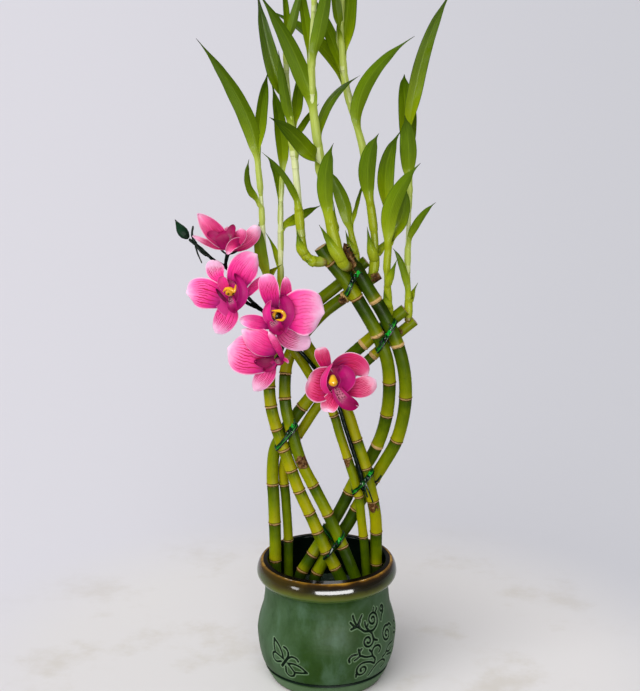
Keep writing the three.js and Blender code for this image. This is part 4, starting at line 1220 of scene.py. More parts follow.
# Each tie goes around its front pair and its back pair, at the heights given after them. A bulge
# lifts it over the orchid's stem, the knot is the line of its twisted ends, and each tail is a
# loose end with its radius.
ties = {
    "tie_low": {
        "around": (["cane_f", "cane_f"], ["cane_c", "cane_d"], (139, 132)), "bulge": 0,
        "knot": [[5, -17.5, 133.5], [9, -18, 138.5], [12.5, -16.5, 143.5]],
        "tails": [
            (1.5, [[5.6, -17.5, 134.5], [2.5, -18.5, 128.5], [-0.5, -17, 125], [-3, -15, 122]]),
        ],
    },
    "tie_left": {
        "around": (["cane_e", "cane_f"], ["cane_a", "cane_b"], (239, 234)), "bulge": 0,
        "knot": [[-36.5, -17.5, 243.5], [-33, -18, 248.5], [-30, -16.5, 253.5]],
        "tails": [(0.7, [[-31.5, -17.5, 251.5], [-29.5, -17, 255], [-29.5, -15.5, 258]])],
    },
    "tie_right": {
        "around": (["cane_h", "cane_g"], ["cane_c", "cane_d"], (195, 189)), "bulge": 3.7,
        "knot": [[33.5, -18.5, 199.5], [36.5, -19, 203], [39.5, -17, 207.5]],
        "tails": [
            (0.75, [[34.5, -18.5, 199], [35, -19, 191], [37, -17.5, 183.5]]),
            (0.7, [[34.5, -18.5, 199], [38.5, -18.5, 189], [42, -15.5, 178]]),
            (1.0, [[43, -8, 194], [46.5, -10, 197.5], [49.7, -11, 202.5]]),
        ],
    },
    "tie_upper_right": {
        "around": (["cane_c", "cane_d"], ["cane_a", "cane_b"], (333, 329)), "bulge": 0,
        "knot": [[46.5, -16.5, 328.5], [51, -17, 333.5], [56, -15.5, 340]],
        "tails": [(0.7, [[55.6, -15.5, 339.6], [56.5, -15, 343], [55, -14.5, 346]])],
    },
    "tie_top": {
        "around": (["cane_c", "cane_c"], ["cane_e", "cane_f"], (378.5, 379)), "bulge": 0,
        "knot": [[21, -17.5, 384], [24.5, -18, 389.5], [28, -16.5, 394]],
        "tails": [(0.7, [[27.6, -16.5, 393.6], [30, -16, 392.5], [31, -14.5, 390]])],
    },
}


def half_turn(names, height, outward, bulge):
    """Half a turn of ribbon round a pair of canes: the places that it passes and what faces out."""
    crossings = []
    for name in names:
        line = smooth_through(canes[name]["line"], 0.5)
        at = int(np.argmax(line[:, 2] >= height))
        radius = np.interp(lengths(line)[at] / lengths(line)[-1], [0, 1], canes[name]["radii"])
        crossings.append((line[at], unit(line[at + 1] - line[at - 1]), radius))
    along = unit((crossings[0][1] + crossings[1][1]) * [1, 0, 1])
    across = np.array([along[2], 0, -along[0]])
    outward = np.array([0, outward, 0])
    centre = (crossings[0][0] + crossings[1][0]) / 2
    stops = []
    for which, degrees in enumerate((200, 160, 125, 90, 90, 55, 20, -20)):
        middle, _, radius = crossings[which // 4]
        turn = math.radians(degrees)
        facing = across * math.cos(turn) + outward * math.sin(turn)
        middle = middle + along * ((centre - middle) @ along) + facing * (radius + tie_gap)
        middle = middle - along * outward[1] * tie_climb * ((middle - centre) @ across)
        stops.append((middle, facing))
    crown = (stops[3][0] + stops[4][0]) / 2 + outward * bulge
    if names[0] == names[1]:
        return [*stops[:3], (crown, outward), *stops[5:]]
    return [*stops[:4], (crown, outward), *stops[4:]]


def nearest_to(line, place):
    return int(np.argmin(np.linalg.norm(line - place, axis=1)))


def wound(name, front, back, heights, bulge):
    """The ribbon of one tie, all the way round its two pairs of canes."""
    stops = half_turn(front, heights[0], -1, bulge) + half_turn(back, heights[1], 1, 0)[::-1]
    middles = [middle for middle, _ in stops]
    outers = [middle + facing for middle, facing in stops]
    loops = []
    for points in (middles, outers):
        closed = [points[(i - 2) % len(points)] for i in range(len(points) + 5)]
        line = smooth_through(closed, 0.25)
        third, half = len(line) // 3, len(line) // 2
        start, stop = nearest_to(line[:third], points[0]), nearest_to(line[half:], points[0])
        line = line[start:half + stop]
        places = lengths(line) / lengths(line)[-1]
        even = np.linspace(0, 1, tie_rows + 1)[:-1]
        loops.append(np.stack([np.interp(even, places, line[:, axis]) for axis in range(3)], 1))
    inner, outer = loops
    tangent = unit(np.roll(inner, -1, 0) - np.roll(inner, 1, 0))
    facing = unit(across_from(outer - inner, tangent))
    run = np.arange(tie_rows) / tie_rows
    facing = turned_about(facing, tangent, 0.35 * np.sin(run * math.tau * 3))
    side = np.cross(facing, tangent)
    wide, high = np.array(tie_section).T[..., None]
    points = inner[:, None] + side[:, None] * wide + facing[:, None] * high
    around = len(tie_section)
    faces = faces_round(tie_rows + 1, around) % (tie_rows * around)
    marks = {
        "across": np.tile(wide[:, 0] / tie_half_width, tie_rows),
        "run": np.repeat(run, around),
    }
    return piece_from(name, points.reshape(-1, 3), faces.tolist(), ribbon, marks, 50)


def ribbon_finish():
    ribbon = Finish("green_ribbon", Specular_IOR_Level=0.05,
                    Coat_Weight=0.15, Coat_Roughness=0.14, Coat_IOR=1.4)
    across, run = ribbon.mark("across"), ribbon.mark("run")
    clouds = ribbon.noise(ribbon.place(), 330, 3)
    lit = ribbon.noise(ribbon.node("ShaderNodeCombineXYZ", sockets={"X": run * 24}), 1.0, 2)
    green = ribbon.ramp(clouds * 0.2 + lit * 0.8, [
        (0.4, "#011c08"), (0.7, "#03961a"), (0.54, "#01400c"),
    ])
    green = ribbon.blend((1 - ribbon.rise(across, -0.52, -0.4)) * 0.97, green, "#010604")
    green = ribbon.blend(ribbon.rise(across, 0.3, 0.5) * 0.6, green, "#01300c")
    line = ribbon.rise(across, -0.4, -0.3) * (1 - ribbon.rise(across, -0.1, 0.05))
    green = ribbon.blend(line * 0.6, green, "#35ae1c")
    creases = ribbon.maths("SINE", run * 900)
    return ribbon.done(green, 0.3 + clouds * 0.15, creases * 0.3 + clouds, 0.00012)


def tie_wire_finish():
    wire = Finish("tie_wire", Specular_IOR_Level=0.08, Coat_Weight=0.1, Coat_Roughness=0.15)
    clouds = wire.noise(wire.place(), 500, 3)
    # Painted highlight: the twisted ends are painted a brighter green towards their end.
    coat = wire.ramp(clouds + wire.mark("painted_highlight") * 0.4, [
        (0.45, "#010704"), (0.88, "#07ad28"), (0.64, "#023f10"),
    ])
    return wire.done(coat, 0.3 + clouds * 0.2, clouds, 0.0002)


def tie_ends(name, tie):
    """The twisted pair of ends and the tails of one tie."""
    axis = smooth_through(tie["knot"], 0.25)
    share = lengths(axis) / lengths(axis)[-1]
    tangent = unit(np.gradient(axis, axis=0))
    up = unit(np.cross(tangent, [0, 1, 0]))
    out = np.cross(up, tangent)
    spread = end_spread * np.sin(np.clip(share, 0.04, 0.96) * math.pi) ** 0.4
    ends = []
    for lead in (0, math.pi):
        turn = (lead + share * math.tau * end_turns)[:, None]
        line = axis + spread[:, None] * (up * np.cos(turn) + out * np.sin(turn))
        # The twisted ends get a painted highlight, brighter green towards their end.
        ends.append((end_radius, line, smoothstep(0.45, 0.9, share)))
    for size, tail in tie["tails"]:
        line = smooth_through(tail, 0.4)
        ends.append((size, line, np.zeros(len(line))))
    parts = []
    for index, (size, line, painted_highlight) in enumerate(ends):
        radius = np.full(len(line), size)
        radius[[0, -1]] *= 0.5
        end_name = f"{name}_end_{index + 1}"
        parts.append(rod(end_name, line, radius, 8, tie_wire, {"painted_highlight": painted_highlight}))
    return parts


ribbon, tie_wire = ribbon_finish(), tie_wire_finish()
for name, tie in ties.items():
    front, back, heights = tie["around"]
    loop = wound(f"{name}_ribbon", front, back, heights, tie["bulge"])
    for part in (loop, *tie_ends(name, tie)):
        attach(part, "root")
        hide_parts(name)


# Orchid stem: green plastic over wire, almost black, with a stalk for each bloom, two cut twigs
# and a bud at its end.

wire_radii = (2.0, 1.4)

# Each petal and each lobe is [root, bend, tip, width, where it is widest, turn, cup, point, tone].
# The places are from the middle of the bloom, the turn is about its own length, a cup brings its
# sides forward, and a tone above 0 is deeper. The stalk ends in the bloom's heart. A warm bloom is
# redder, and its faint petals have weak veins. Eyes are dark spots on the hood of its column.
blooms = {
    "bloom_1": {
        "at": [-85, -31, 416], "tilt": -62, "turn": -4, "heart": [0, -1, 3],
        "warm": 0.6, "faint": [], "stalk": [[-89, -19, 398], [-88, -22, 404]],
        "petals": [
            [[-2, -2, 3.5], [-12.5, -8, 19.5], [-24.5, -4, 32.5], 19.5, 0.42, -10, 0.2, 1.7, 0.0],
            [[-2.5, -1, 1.5], [-15.5, -5, 5.5], [-30.5, -6, 13], 9, 0.45, 50, 0.2, 1.2, -0.4],
            [[0.5, 3, 0.5], [16, 4, 7], [24.5, 2, 20], 15, 0.6, 10, -0.2, 0.8, -0.3],
            [[-0.5, 0, 1], [9, -8, 12], [10.5, -7, 20.5], 13, 0.6, 0, -0.2, 0.8, 0.2],
            [[13, -2, 7.5], [5, -12, 8], [0, -12, 0], 10, 0.4, -10, 0.25, 1.0, 0.5],
            [[-1.5, 1, 3], [-0.5, 1, 11.5], [-0.5, 0, 20.5], 8, 0.6, 0, 0, 0.9, 0.4],
        ],
        "lobes": [
            [[-1, -5, 2.5], [-9, -11, 13.5], [-17, -10, 16], 8, 0.6, 0, 0.1, 0.9, 0.4],
            [[-1, -6, 3], [-4, -11.5, 12.5], [-6.5, -10, 17.5], 15, 0.7, 0, -0.1, 0.7, 0.4],
            [[-0.5, -5, 2.5], [2, -11, 15.5], [5.5, -9, 23.5], 8, 0.55, 0, 0.1, 1.0, 0.4],
        ],
        "column": [[-1.5, 0, 0.5], [-1.5, -3, 4.5], [-1.5, -6, 8]], "hood": 2.2, "eyes": 0,
    },
    "bloom_2": {
        "at": [-84, -38, 379], "tilt": -4, "turn": -6, "heart": [0, 0, 0],
        "warm": 0.15, "faint": [4], "stalk": [[-58, -15, 359], [-69, -21, 366], [-76, -28, 373]],
        "petals": [
            [[-7.5, 1, 12.5], [-12.5, 5, 19], [-13, 5, 28], 17, 0.6, 0, -0.1, 0.8, -1],
            [[-2, -1, -7.5], [-21, -8, 2], [-37.5, -3, 1.5], 28, 0.52, 0, -0.1, 0.75, 0.1],
            [[0.5, -1, -10.5], [-5, -3, -23], [-14, 3, -35.5], 22, 0.35, 0, -0.12, 0.8, -0.3],
            [[10.5, 0, -4], [20, 0, 5.5], [29.5, 1, 15.5], 9, 0.6, 10, 0.2, 1.0, 0.5],
            [[6, 0, 3], [11.5, -5, 22], [24, 3, 34], 27, 0.5, 0, -0.1, 1.0, 0.2],
        ],
        "lobes": [
            [[1, -2, -15.5], [-2.5, -4, -2.5], [2, -3, 12.5], 23, 0.5, 0, 0.1, 0.8, -0.2],
            [[-2, -2, 1], [-5, -6, 10], [-5, -6, 16.5], 10.5, 0.55, -10, 0.2, 0.7, -0.8],
            [[4.5, -5, -12], [11.5, -12, 3.5], [4.5, -6, 18], 10.5, 0.45, 20, 0.3, 1.2, 0.1],
            [[1.5, -6, -8.5], [-5, -12, 0], [-10, -9, 6.5], 5.5, 0.4, -40, 0.3, 1.2, 0.9],
            [[0.5, -5, -1], [2, -11, -6], [4.5, -8, -12.5], 10, 0.6, 0, 0.3, 1.0, 0.2],
        ],
        "arch": [
            [-5, -11, 4.5], [-2.5, -13, 7.5], [1, -14, 7.5], [4.5, -14, 5.5], [5.5, -14, 8.5],
            [6, -13, 11],
        ],
        "column": [[1, -2, -0.5], [0.5, -8, 5], [1.5, -12, 2.5]], "hood": 4.6, "eyes": 1,
    },
    "bloom_3": {
        "at": [-43, -38, 359], "tilt": -3, "turn": 6, "heart": [0, 0, 0],
        "warm": 0.2, "faint": [1, 4], "stalk": [[-46, -14, 345], [-46, -20, 350], [-45, -26, 355]],
        "petals": [
            [[3.5, 1, -11.5], [12, 4, -21], [28.5, 5, -25], 21, 0.45, 0, -0.08, 0.6, -1],
            [[2.5, -1, 0], [21.5, -7, 5], [40.5, -1, 3], 43, 0.5, 0, -0.1, 0.75, -0.35],
            [[6.5, 2, 11], [7.5, 2, 24], [7, 1, 34.5], 11, 0.3, 0, -0.1, 1.2, 0.3],
            [[-3, -3, 6], [-7, -9, 24.5], [-10, -9, 39.5], 19, 0.55, -10, -0.15, 0.8, 0.3],
            [[-4.5, -3, -7.5], [-19, -9, -2.5], [-30.5, -6, -1.5], 15, 0.5, -10, 0.2, 1.0, 0.2],
        ],
        "lobes": [
            [[1, -2, -15], [0.5, -4, 4], [2, -3, 20], 24, 0.5, 0, 0.1, 0.7, -0.1],
            [[4.5, -4, -8], [9, -9, 6.5], [3.5, -5, 19], 13, 0.55, 15, 0.25, 0.8, 0.15],
            [[-2.5, -6, -7], [-8.5, -12, 4.5], [-5, -8, 15], 9, 0.4, -20, 0.3, 1.3, -0.4],
            [[-4, -6, 1.5], [-2, -12, -5], [2.5, -9, -10], 14, 0.5, 0, 0.3, 0.8, 0.3],
        ],
        "arch": [
            [-4.5, -12, 8], [-1, -14, 8.5], [4, -15, 8], [6.5, -14, 4], [4.5, -14, 0.5],
            [-1, -12, 0],
        ],
        "column": [[-2, -2, -3], [-2.5, -8, 3], [2.5, -11, 2.5]], "hood": 4.0, "eyes": 2,
    },
    "bloom_4": {
        "at": [-57, -40, 318], "tilt": 4, "turn": -10, "heart": [10, -3, -1],
        "warm": 0.4, "faint": [3], "stalk": [[-34, -14, 332], [-38, -20, 328], [-42, -28, 321]],
        "petals": [
            [[10, 0, 1], [-11.5, -6, 7.5], [-30, 0, 12.5], 37, 0.55, 0, -0.12, 0.8, -0.1],
            [[9, 0, -1.5], [2, -3, -12.5], [-7.5, 2, -27], 18, 0.45, 0, -0.12, 0.9, -0.5],
            [[16.5, -5, 4.5], [20.5, -8, 4.5], [23, -7, 1], 4, 0.5, 20, -0.2, 1.0, 0.4],
            [[14.5, -6, 12.5], [0, -13, 21], [-17, -6, 31], 27, 0.5, 0, -0.3, 0.75, 0.1],
            [[19, -6, 3], [13.5, -14, 19], [6.5, -12, 31], 8, 0.6, 0, -0.4, 0.6, 0.25],
        ],
        "lobes": [
            [[11, -4, 2.5], [3, -8, 2], [-5.5, -5, 2.5], 9, 0.5, 0, 0.2, 1.2, 0.8],
            [[11.5, -5, 2], [7.5, -7, -2], [2, -5, -5], 8, 0.5, 0, 0.2, 1.2, 0.4],
            [[11.5, -4, 2], [15.5, -7, 3], [18, -5, 4.5], 8, 0.5, 0, 0.2, 1.2, 0.8],
        ],
        "column": [[9.5, 1, 0.5], [5.5, -2, 1.5], [2, -6, 3.5]], "hood": 2.6, "eyes": 0,
    },
    "bloom_5": {
        "at": [9, -36, 298], "tilt": 2, "turn": 8, "heart": [0, 0, 0],
        "warm": 1, "faint": [], "stalk": [[0, -13, 287], [3, -18, 291], [6, -24, 295]],
        "petals": [
            [[-8, 2, 10.5], [-12.5, 3, 22], [-15, 2, 31], 14.5, 0.6, 0, -0.15, 0.65, 0.2],
            [[5.5, 2, -5.5], [21, -4, -3], [34, 2, 2], 20, 0.55, 0, -0.12, 0.7, -0.6],
            [[-4, 2, 8.5], [11.5, -3, 18], [26.5, 1, 6], 22, 0.5, 0, -0.1, 0.9, 0.9],
            [[0, -2, -7.5], [-6, -9, -15], [-9, -8, -21.5], 17, 0.6, 0, 0.15, 0.7, -0.2],
            [[-4, -1, -1.5], [-15, -9, 2], [-25.5, -10, 5.5], 36, 0.5, 0, 0.16, 0.75, 0.4],
        ],
        "lobes": [
            [[-1, -2, -11.5], [-1, -4, 2.5], [0, -3, 16], 21, 0.5, 0, 0.1, 0.8, 0.2],
            [[3, -5, -5.5], [8.5, -11, 7.5], [2, -8, 15], 16, 0.55, 10, 0.3, 0.6, 0.05],
            [[-6, -6, -9], [-12, -11, 4.5], [-4, -8, 20], 7, 0.4, -25, 0.2, 1.4, -0.7],
            [[-1, -6, -2.5], [5.5, -12, -11.5], [16, -6, -18.5], 15, 0.55, 0, 0.25, 1.0, 0.2],
        ],
        "column": [[-1.5, -2, -2.5], [-4, -8, 7.5], [-3.5, -13, 1]], "hood": 4.1, "eyes": 0,
    },
}
stem_line = [
    [33, -14, 189], [32, -14, 199], [22, -14, 232], [16, -14, 251], [10, -14, 270], [-11, -14, 305],
    [-27, -14, 324], [-46, -14, 345], [-57, -15, 358], [-68, -17, 369], [-78, -19, 384],
    [-88, -20, 398], [-99, -20, 405], [-110, -19, 415], [-120, -18, 423],
]

# The short branches: the line, the radii of its ends, the swelling at its foot, and how green its
# end is. The last one is the thin wire under the highest bloom.
branches = {
    "orchid_twig_1": ([[-114, -19, 418], [-117, -20, 427], [-116, -20, 435]], (1.2, 0.84), 0.5),
    "orchid_twig_2": ([[-104, -19.5, 409], [-109, -21, 412], [-115, -22, 421]], (1.2, 0.84), 0.5),
    "orchid_twig_3": ([[-114, -19, 418], [-113, -20, 412], [-109, -20, 402]], (0.9, 0.5), 0.4, 1),
    "bloom_1_calyx": (
        [[-92.4, -25, 415.7], [-88, -28, 412.6], [-82, -28, 412.4], [-75.8, -25, 415.5]],
        (0.9, 0.8),
    ),
}


def placed(bloom, points):
    """Points of a bloom that faces -Y round its middle, tilted, turned and set in its place."""
    turn = Euler((math.radians(bloom["tilt"]), 0, math.radians(bloom["turn"]))).to_matrix()
    return np.asarray(points) @ np.array(turn).T + bloom["at"]


def wire_finish():
    wire = Finish("stem_plastic", Specular_IOR_Level=0.02,
                  Coat_Weight=0.05, Coat_Roughness=0.15, Coat_IOR=1.35)
    clouds = wire.noise(wire.place(), 120, 3)
    skin = wire.blend(wire.rise(clouds, 0.35, 0.7), "#020a05", "#071c0d")
    grain = wire.noise(wire.place(), 1400, 3)
    skin = wire.blend(wire.rise(wire.mark("end"), 0.5, 1) * 0.5, skin, "#3f4a12")
    return wire.done(skin, 0.34 + clouds * 0.2, grain + clouds, 0.00012)


def wire_rod(name, points, radii, swelling=0.0, end=0.0):
    """A length of stem, thinning towards its end, with a swelling where it leaves another."""
    line = smooth_through(points, 0.7)
    along = lengths(line)
    share = along / along[-1]
    radius = np.interp(share, [0, 1], radii) + 0.05 * np.sin(along * 0.9)
    radius = radius + swelling * np.exp(-((along - 1.5) / 2.2) ** 2)
    radius[-3:] *= [0.96, 0.85, 0.6]
    radius[:2] *= [0.7, 0.93]
    marks = {"end": end * smoothstep(0.35, 1, share), "part": share}
    return rod(name, line, radius, 14, wire_skin, marks, 50)


wire_skin = wire_finish()
stem_parts = [wire_rod("orchid_stem_main", stem_line, wire_radii)]
stem_parts += [wire_rod(name, *branch) for name, branch in branches.items()]
for name, bloom in blooms.items():
    calyx = placed(bloom, [[0, 3, 0]])[0] + bloom["heart"]
    stem_parts.append(wire_rod(f"{name}_stalk", [*bloom["stalk"], calyx], (1.2, 2.2), 0.5))
for part in stem_parts:
    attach(part, "root")
    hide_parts("orchid_stem")


# Bud: a pointed green bud on the end of the stem, of the same plastic. It is wrapped in three
# sepals, and their edges show as pale seams that wind to its tip.

def bud_finish():
    bud = Finish("bud_skin", Specular_IOR_Level=0.05)
    fibres = bud.noise(on_section(bud), 9, 3, 0.6)
    skin = bud.ramp(bud.mark("part") + (fibres - 0.5) * 0.2, [
        (0, "#081a0c"), (1, "#101a0a"), (0.3, "#0a2814"), (0.7, "#0a301a"), (0.9, "#10240e"),
    ])
    seam = bud.rise(bud.mark("seam"), 0.4, 1)
    skin = bud.blend(seam * 0.6, skin, "#1c4a28")
    return bud.done(skin, 0.4 + fibres * 0.2, fibres + seam, 0.0003)


bud_widest = 4.7
bud_sepals = 3
seam_twist, seam_place, seam_width = 60, 3, 0.5
bud_line = smooth_through([[-120.4, -18, 423.4], [-126, -17, 430], [-132, -16, 440]], 0.35)
bud_share = lengths(bud_line) / lengths(bud_line)[-1]
bud_radius = bud_widest * np.interp(
    bud_share,
    [0, 0.06, 0.2, 0.38, 0.56, 0.74, 0.88, 1],
    [0.2, 0.5, 0.88, 1, 0.84, 0.48, 0.2, 0.04],
)
bud = rod("orchid_bud_sepals", bud_line, bud_radius, 36, bud_finish(), {"part": bud_share})
bud_round = np.zeros(len(bud.data.vertices) * 3)
bud.data.attributes["round"].data.foreach_get("vector", bud_round)
bud_angle = np.arctan2(bud_round[1::3], bud_round[::3])
bud_height = np.array([vertex.co.z for vertex in bud.data.vertices])
from_seam = np.mod(bud_angle * bud_sepals + bud_height * seam_twist, math.tau) - seam_place
set_marks(bud.data, {"seam": np.exp(-((from_seam / seam_width) ** 2))})
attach(bud, "root")
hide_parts("orchid_bud")


# Blooms: pressed cloth petals with printed veins, a cupped lip of a few lobes and a short column
# with a hooded end, pushed together onto the stalk. The petals are pale at their edges and deepest
# at the heart, and two columns have a curled lobe across them.

petal_thickness = 0.5
core_turns = 24
core_shape = [
    (0.02, 3.4), (1.6, 3.5), (3.0, 2.7), (3.9, 0.8), (3.8, -1.0), (2.8, -2.8), (1.4, -3.9),
    (0.02, -4.1),
]


def add_petal(sheets, at, shape, chance, claw, **marks):
    """One petal or lobe. claw is how wide its root is, as a share of its widest."""
    root, bend, tip = at + np.array(shape[:3], float)
    width, widest, turn, cup, point, tone = shape[3:]
    rise, fall = np.linspace(0, widest, 17), np.linspace(0, math.pi / 2, 17)[1:]
    v = np.concatenate([rise, widest + (1 - widest) * np.sin(fall)])[:, None]
    swelling = claw + (1 - claw) * np.sin(rise / widest * math.pi / 2)
    outline = np.concatenate([swelling, np.maximum(np.cos(fall), 0) ** point])[:, None]
    spine, direction = bowed(root, bend, tip, v)
    tangent = unit(direction)
    look = turned_about(np.array([[0, -1, 0.15]]), unit(tip - root)[None], np.radians([turn]))
    side = unit(np.cross(look, tangent))
    facing = np.cross(tangent, side)
    even = np.linspace(-1, 1, 21)
    u = (0.5 * np.sin(even * math.pi / 2) + 0.5 * even)[None, :]
    reach = width / 2 * np.maximum(outline, 0.03)
    narrow = 1 - 0.5 * min(abs(cup), 0.5) * np.abs(u) ** 2
    phases, pace = chance.uniform(0, 6, 3), chance.uniform(5, 8)
    ruffle = np.sin(v * pace + phases[0] + np.sign(u) * phases[1]) * np.abs(u) ** 3 * v
    frill = np.sin(v * 21 + u * 4 + phases[2]) * np.maximum(np.abs(u) ** 5, v**9)
    crease = np.exp(-((u / 0.12) ** 2)) * np.sin(math.pi * np.clip(v, 0, 0.92))
    cupped = cup * u**2 * (0.25 + 0.75 * v)
    depth = width * (cupped + 0.035 * ruffle + 0.012 * frill - 0.035 * crease)
    grid = spine[:, None] + side[:, None] * (u * reach * narrow)[..., None]
    grid = grid + facing[:, None] * depth[..., None]
    half = petal_thickness / 2 * (1 - 0.6 * np.maximum(np.abs(u) ** 6, v**12))
    sheets.add(grid, half, across=u, along=v, tone=tone, seed=chance.uniform(0, 9), **marks)


def add_core(sheets, bloom):
    """The round cushion behind the petals that they are pushed onto."""
    turns = np.linspace(0, math.tau, core_turns + 1)[:-1]
    grid = [[[r * math.cos(a), y, r * math.sin(a)] for a in turns] for r, y in core_shape]
    first, count = sum(map(len, sheets.points)), len(core_shape) * core_turns
    sheets.faces += (first + faces_round(len(core_shape), core_turns, (0, 3, 2, 1))).tolist()
    ends = range(first, first + core_turns), range(first + count - core_turns, first + count)[::-1]
    sheets.faces += [tuple(end) for end in ends]
    sheets.points.append(placed(bloom, np.reshape(grid, (-1, 3))) + bloom["heart"])
    for mark in sheets.marks:
        sheets.marks[mark].append(np.full(count, 0.5 if mark in ("tone", "warm") else 0.0))


def petal_finish():
    petal = Finish("orchid_petal", Specular_IOR_Level=0.05)
    across, along = petal.mark("across"), petal.mark("along")
    seed, tone, warm = petal.mark("seed"), petal.mark("tone"), petal.mark("warm")
    where = petal.place()
    chart = petal.node("ShaderNodeCombineXYZ", sockets=[across * 1.6, along * 2.4, seed * 10])
    drift = petal.noise(chart, 1.6, 2)
    broken = petal.noise(chart, 5, 3)
    clouds = petal.noise(where, 70, 3)
    level = along + (drift - 0.5) * 0.3 - tone * 0.25
    cool_pink = petal.ramp(level + 0.02, [
        (0, "#86105f"), (1, "#fdc3e6"), (0.18, "#cf1686"), (0.36, "#f5248f"), (0.56, "#ff4fa6"),
        (0.78, "#ff7fc0"),
    ])
    warm_pink = petal.ramp(level, [
        (0, "#72062c"), (1, "#f09db2"), (0.3, "#b40e42"), (0.6, "#d62e5e"), (0.8, "#e8607e"),
    ])
    pink = petal.blend(warm * 0.75, cool_pink, warm_pink)
    spread = across + (drift - 0.5) * 0.26
    coarse = 1 - petal.rise(abs(petal.maths("SINE", spread * 11)), 0.1, 0.4)
    fine = 1 - petal.rise(abs(petal.maths("SINE", spread * 22)), 0.15, 0.6)
    reach = petal.rise(along, 0.12, 0.3) * (1 - petal.rise(along + (broken - 0.5) * 0.3, 0.6, 0.86))
    branch = petal.rise(along + (broken - 0.5) * 0.2, 0.36, 0.52)
    inside = 1 - petal.rise(abs(across), 0.74, 0.92)
    vein = petal.maths("MAXIMUM", coarse, fine * branch) * reach * inside
    printed = vein * petal.rise(broken, 0.25, 0.45) * petal.mark("veins")
    pink = petal.blend(printed, pink, "#bf0a34")
    edge = petal.maths("MAXIMUM", abs(across), along)
    margin = petal.rise(edge + (clouds - 0.5) * 0.06, 0.88, 1.0)
    pink = petal.blend(margin * 0.7, pink, "#fcd6ec")
    pink = petal.blend(petal.mark("under") * 0.35, pink, "#f3a6cf")
    weave = petal.noise(where, 1500, 2)
    relief = weave * 0.35 - vein * 0.8 + clouds * 0.6
    return petal.done(pink, 0.5 + weave * 0.2, relief, 0.0003)


def lip_finish():
    lip = Finish("orchid_lip", Specular_IOR_Level=0.05)
    across, along, seed = lip.mark("across"), lip.mark("along"), lip.mark("seed")
    where = lip.place()
    clouds = lip.noise(where, 90, 3)
    tone = lip.mark("tone") + (clouds - 0.5) * 0.5 + (along - 0.5) * 0.3
    flesh = lip.ramp(tone * 0.5 + 0.5, [
        (0, "#f5388c"), (1, "#5a0434"), (0.3, "#e02488"), (0.5, "#c01078"), (0.75, "#9c0850"),
    ])
    chart = lip.node("ShaderNodeCombineXYZ", sockets=[across, along * 2.0, seed * 10])
    cells = lip.node("ShaderNodeTexVoronoi", sockets={"Vector": chart, "Scale": 9.0},
                     output="Distance")
    throat = (1 - lip.rise(abs(across), 0.35, 0.7)) * (1 - lip.rise(along, 0.35, 0.62))
    throat = throat * lip.mark("mid")
    flesh = lip.blend(throat * 0.4, flesh, "#e3b7bd")
    flesh = lip.blend(throat * (1 - lip.rise(cells, 0.42, 0.56)), flesh, "#12030c")
    flesh = lip.blend(lip.mark("warm") * 0.3, flesh, "#8f0a3c")
    edge = lip.maths("MAXIMUM", abs(across), along)
    margin = lip.rise(edge + (clouds - 0.5) * 0.1, 0.88, 1.0)
    rim = lip.blend(lip.rise(tone, -0.2, 0.3), "#ff9ad0", "#4a0628")
    flesh = lip.blend(margin * 0.35, flesh, rim)
    flesh = lip.blend(lip.mark("under") * 0.35, flesh, "#8a0f4c")
    weave = lip.noise(where, 1500, 2)
    return lip.done(flesh, 0.45 + weave * 0.2, weave * 0.4 + clouds, 0.0003)


def column_finish():
    column = Finish("orchid_column", Specular_IOR_Level=0.1, Coat_Weight=0.15)
    part, cap = column.mark("part"), column.mark("cap")
    sides, height, _ = column.split(on_section(column))
    clouds = column.noise(column.place(), 300, 3)
    flesh = column.ramp(part + (clouds - 0.5) * 0.12, [
        (0, "#b81a68"), (1, "#e8a312"), (0.42, "#d2679c"), (0.58, "#e6b13a"), (0.8, "#f0b413"),
    ])
    eye_x, eye_y = abs(sides * cap) - 0.45, height * cap
    eyes = column.mark("eyes")
    eye = 1 - column.rise((eye_x**2 + eye_y**2) ** 0.5, 0.16, 0.28)
    eye = column.maths("MAXIMUM", eye * eyes, column.rise(eyes, 1.2, 1.8))
    flesh = column.blend(eye * column.rise(part, 0.7, 0.84), flesh, "#1c0506")
    return column.done(flesh, 0.4, clouds, 0.0002)


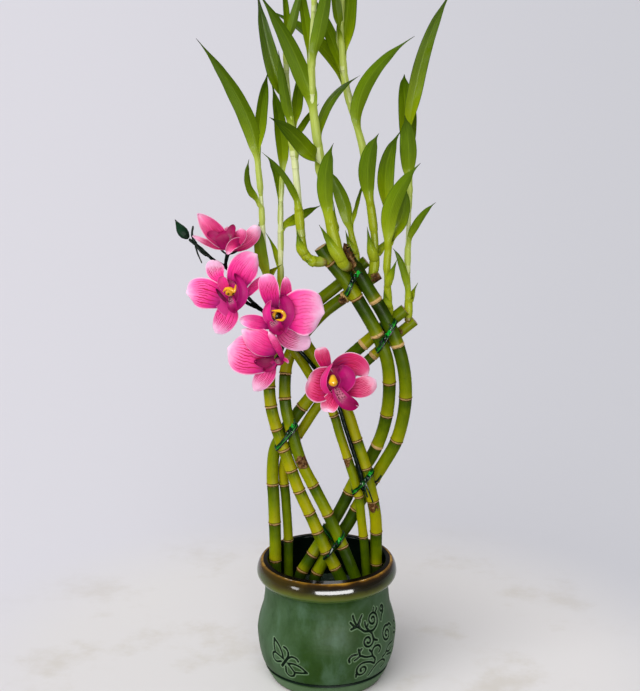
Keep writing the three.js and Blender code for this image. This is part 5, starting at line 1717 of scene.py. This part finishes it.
petal_skin, lip_skin, column_skin = petal_finish(), lip_finish(), column_finish()
for index, (name, bloom) in enumerate(blooms.items()):
    chance = np.random.default_rng(60 + index)
    at = np.array(bloom["at"])
    sheets = Sheets()
    for place, shape in enumerate(bloom["petals"]):
        veins = 0.35 if place in bloom["faint"] else 0.95
        add_petal(sheets, at, shape, chance, 0.5, warm=bloom["warm"], veins=veins)
    add_core(sheets, bloom)
    petals = sheets.piece(f"{name}_sepals", petal_skin)
    sheets = Sheets()
    for shape in bloom["lobes"]:
        mid = shape is bloom["lobes"][-1]
        add_petal(sheets, at, shape, chance, 0.6, warm=bloom["warm"], mid=mid)
    lip = sheets.piece(f"{name}_lip_cup", lip_skin)
    line = smooth_through(at + bloom["column"], 0.4)
    share = lengths(line) / lengths(line)[-1]
    hood = bloom["hood"]
    radius = np.interp(share, [0, 0.3, 0.5, 0.7, 0.84, 0.93, 0.98, 1],
                       [2.0, 1.7, 1.8, 0.8 * hood, hood, 0.8 * hood, 0.45 * hood, 0.15 * hood])
    cap = np.where(share > 0.8, radius / hood, 1)
    marks = {"part": share, "cap": cap, "eyes": np.full(len(line), float(bloom["eyes"]))}
    column = rod(f"{name}_column_hood", line, radius, 22, column_skin, marks, 60)
    pieces = [(petals, "petals"), (lip, "lip"), (column, "column")]
    if "arch" in bloom:
        line = smooth_through(at + bloom["arch"], 0.3)
        share = lengths(line) / lengths(line)[-1]
        radius = 1.45 * np.sin(math.pi * np.clip(share, 0.05, 0.95)) ** 0.5
        marks = {"part": 0.8 + 0.2 * share, "cap": np.ones(len(line)), "eyes": np.zeros(len(line))}
        arch = rod(f"{name}_column_arch", line, radius, 14, column_skin, marks, 60)
        pieces.append((arch, "column"))
    for piece, part in pieces:
        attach(piece, "root")
        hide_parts(f"{name}_{part}")


# Floor and light: a pale floor in soft daylight. The windows of the room are lamps that show only
# as reflections, most of all on the pot's rim.

floor_radius, floor_sides = 16, 96
floor_mesh = bpy.data.meshes.new("floor")
floor_turns = np.linspace(0, math.tau, floor_sides + 1)[:-1]
floor_mesh.from_pydata(
    [(floor_radius * math.cos(turn), floor_radius * math.sin(turn), 0) for turn in floor_turns],
    [], [range(floor_sides)],
)
floor = in_scene("floor", floor_mesh)
paper = Finish("floor_paper", Roughness=0.75, Specular_IOR_Level=0)
paper_place = paper.place()
reach = paper.length(paper_place)
stain = paper.noise(paper_place, 9, 5, 0.65)
near = paper.blend(paper.rise(stain, 0.5, 0.72) * 0.6, "#e7e4e4", "#d3ccc2")
beside, behind, _ = paper.split(paper_place)
# Painted shade: away from the pot the floor is painted cooler grey, and darker towards the right.
far = paper.blend(paper.rise(beside / (abs(behind) + 1.5), -0.25, 0.25), "#e4e2e9", "#d3d3d9")
floor_mesh.materials.append(paper.done(
    paper.blend(paper.rise(reach, 0.24, 0.42), near, far), None, stain, 0.0004,
))

world = bpy.data.worlds.new("studio")
bpy.context.scene.world = world
world.use_nodes = True
sky = world.node_tree.nodes["Background"]
sky.inputs["Color"].default_value = colour("#e6e6e8")
sky.inputs["Strength"].default_value = 0.44

lights = [
    ("daylight", "SUN", (-0.5, -0.95, 1.05), 2.8, {"angle": math.radians(70)}),
    ("window", "AREA", (0.35, -1.66, 0.22), 150, {"size": 1.9, "size_y": 0.45}),
    ("doorway", "AREA", (-1.3, -1.05, 0.38), 10, {"size": 0.35, "size_y": 0.3}),
    ("skylight", "AREA", (0, 1.1, 1.9), 30, {"size": 1.6, "size_y": 0.25}),
]
for name, kind, place, power, settings in lights:
    light = bpy.data.lights.new(name, kind)
    light.energy = power
    if kind == "AREA":
        light.shape = "RECTANGLE"
    for setting, value in settings.items():
        setattr(light, setting, value)
    lamp = in_scene(name, light)
    lamp.location = place
    lamp.visible_diffuse, lamp.visible_glossy = kind == "SUN", kind != "SUN"
    lamp.rotation_euler = (Vector((0, 0, 0.1)) - lamp.location).to_track_quat("-Z", "Y").to_euler()

bpy.context.scene.view_settings.view_transform = "Standard"
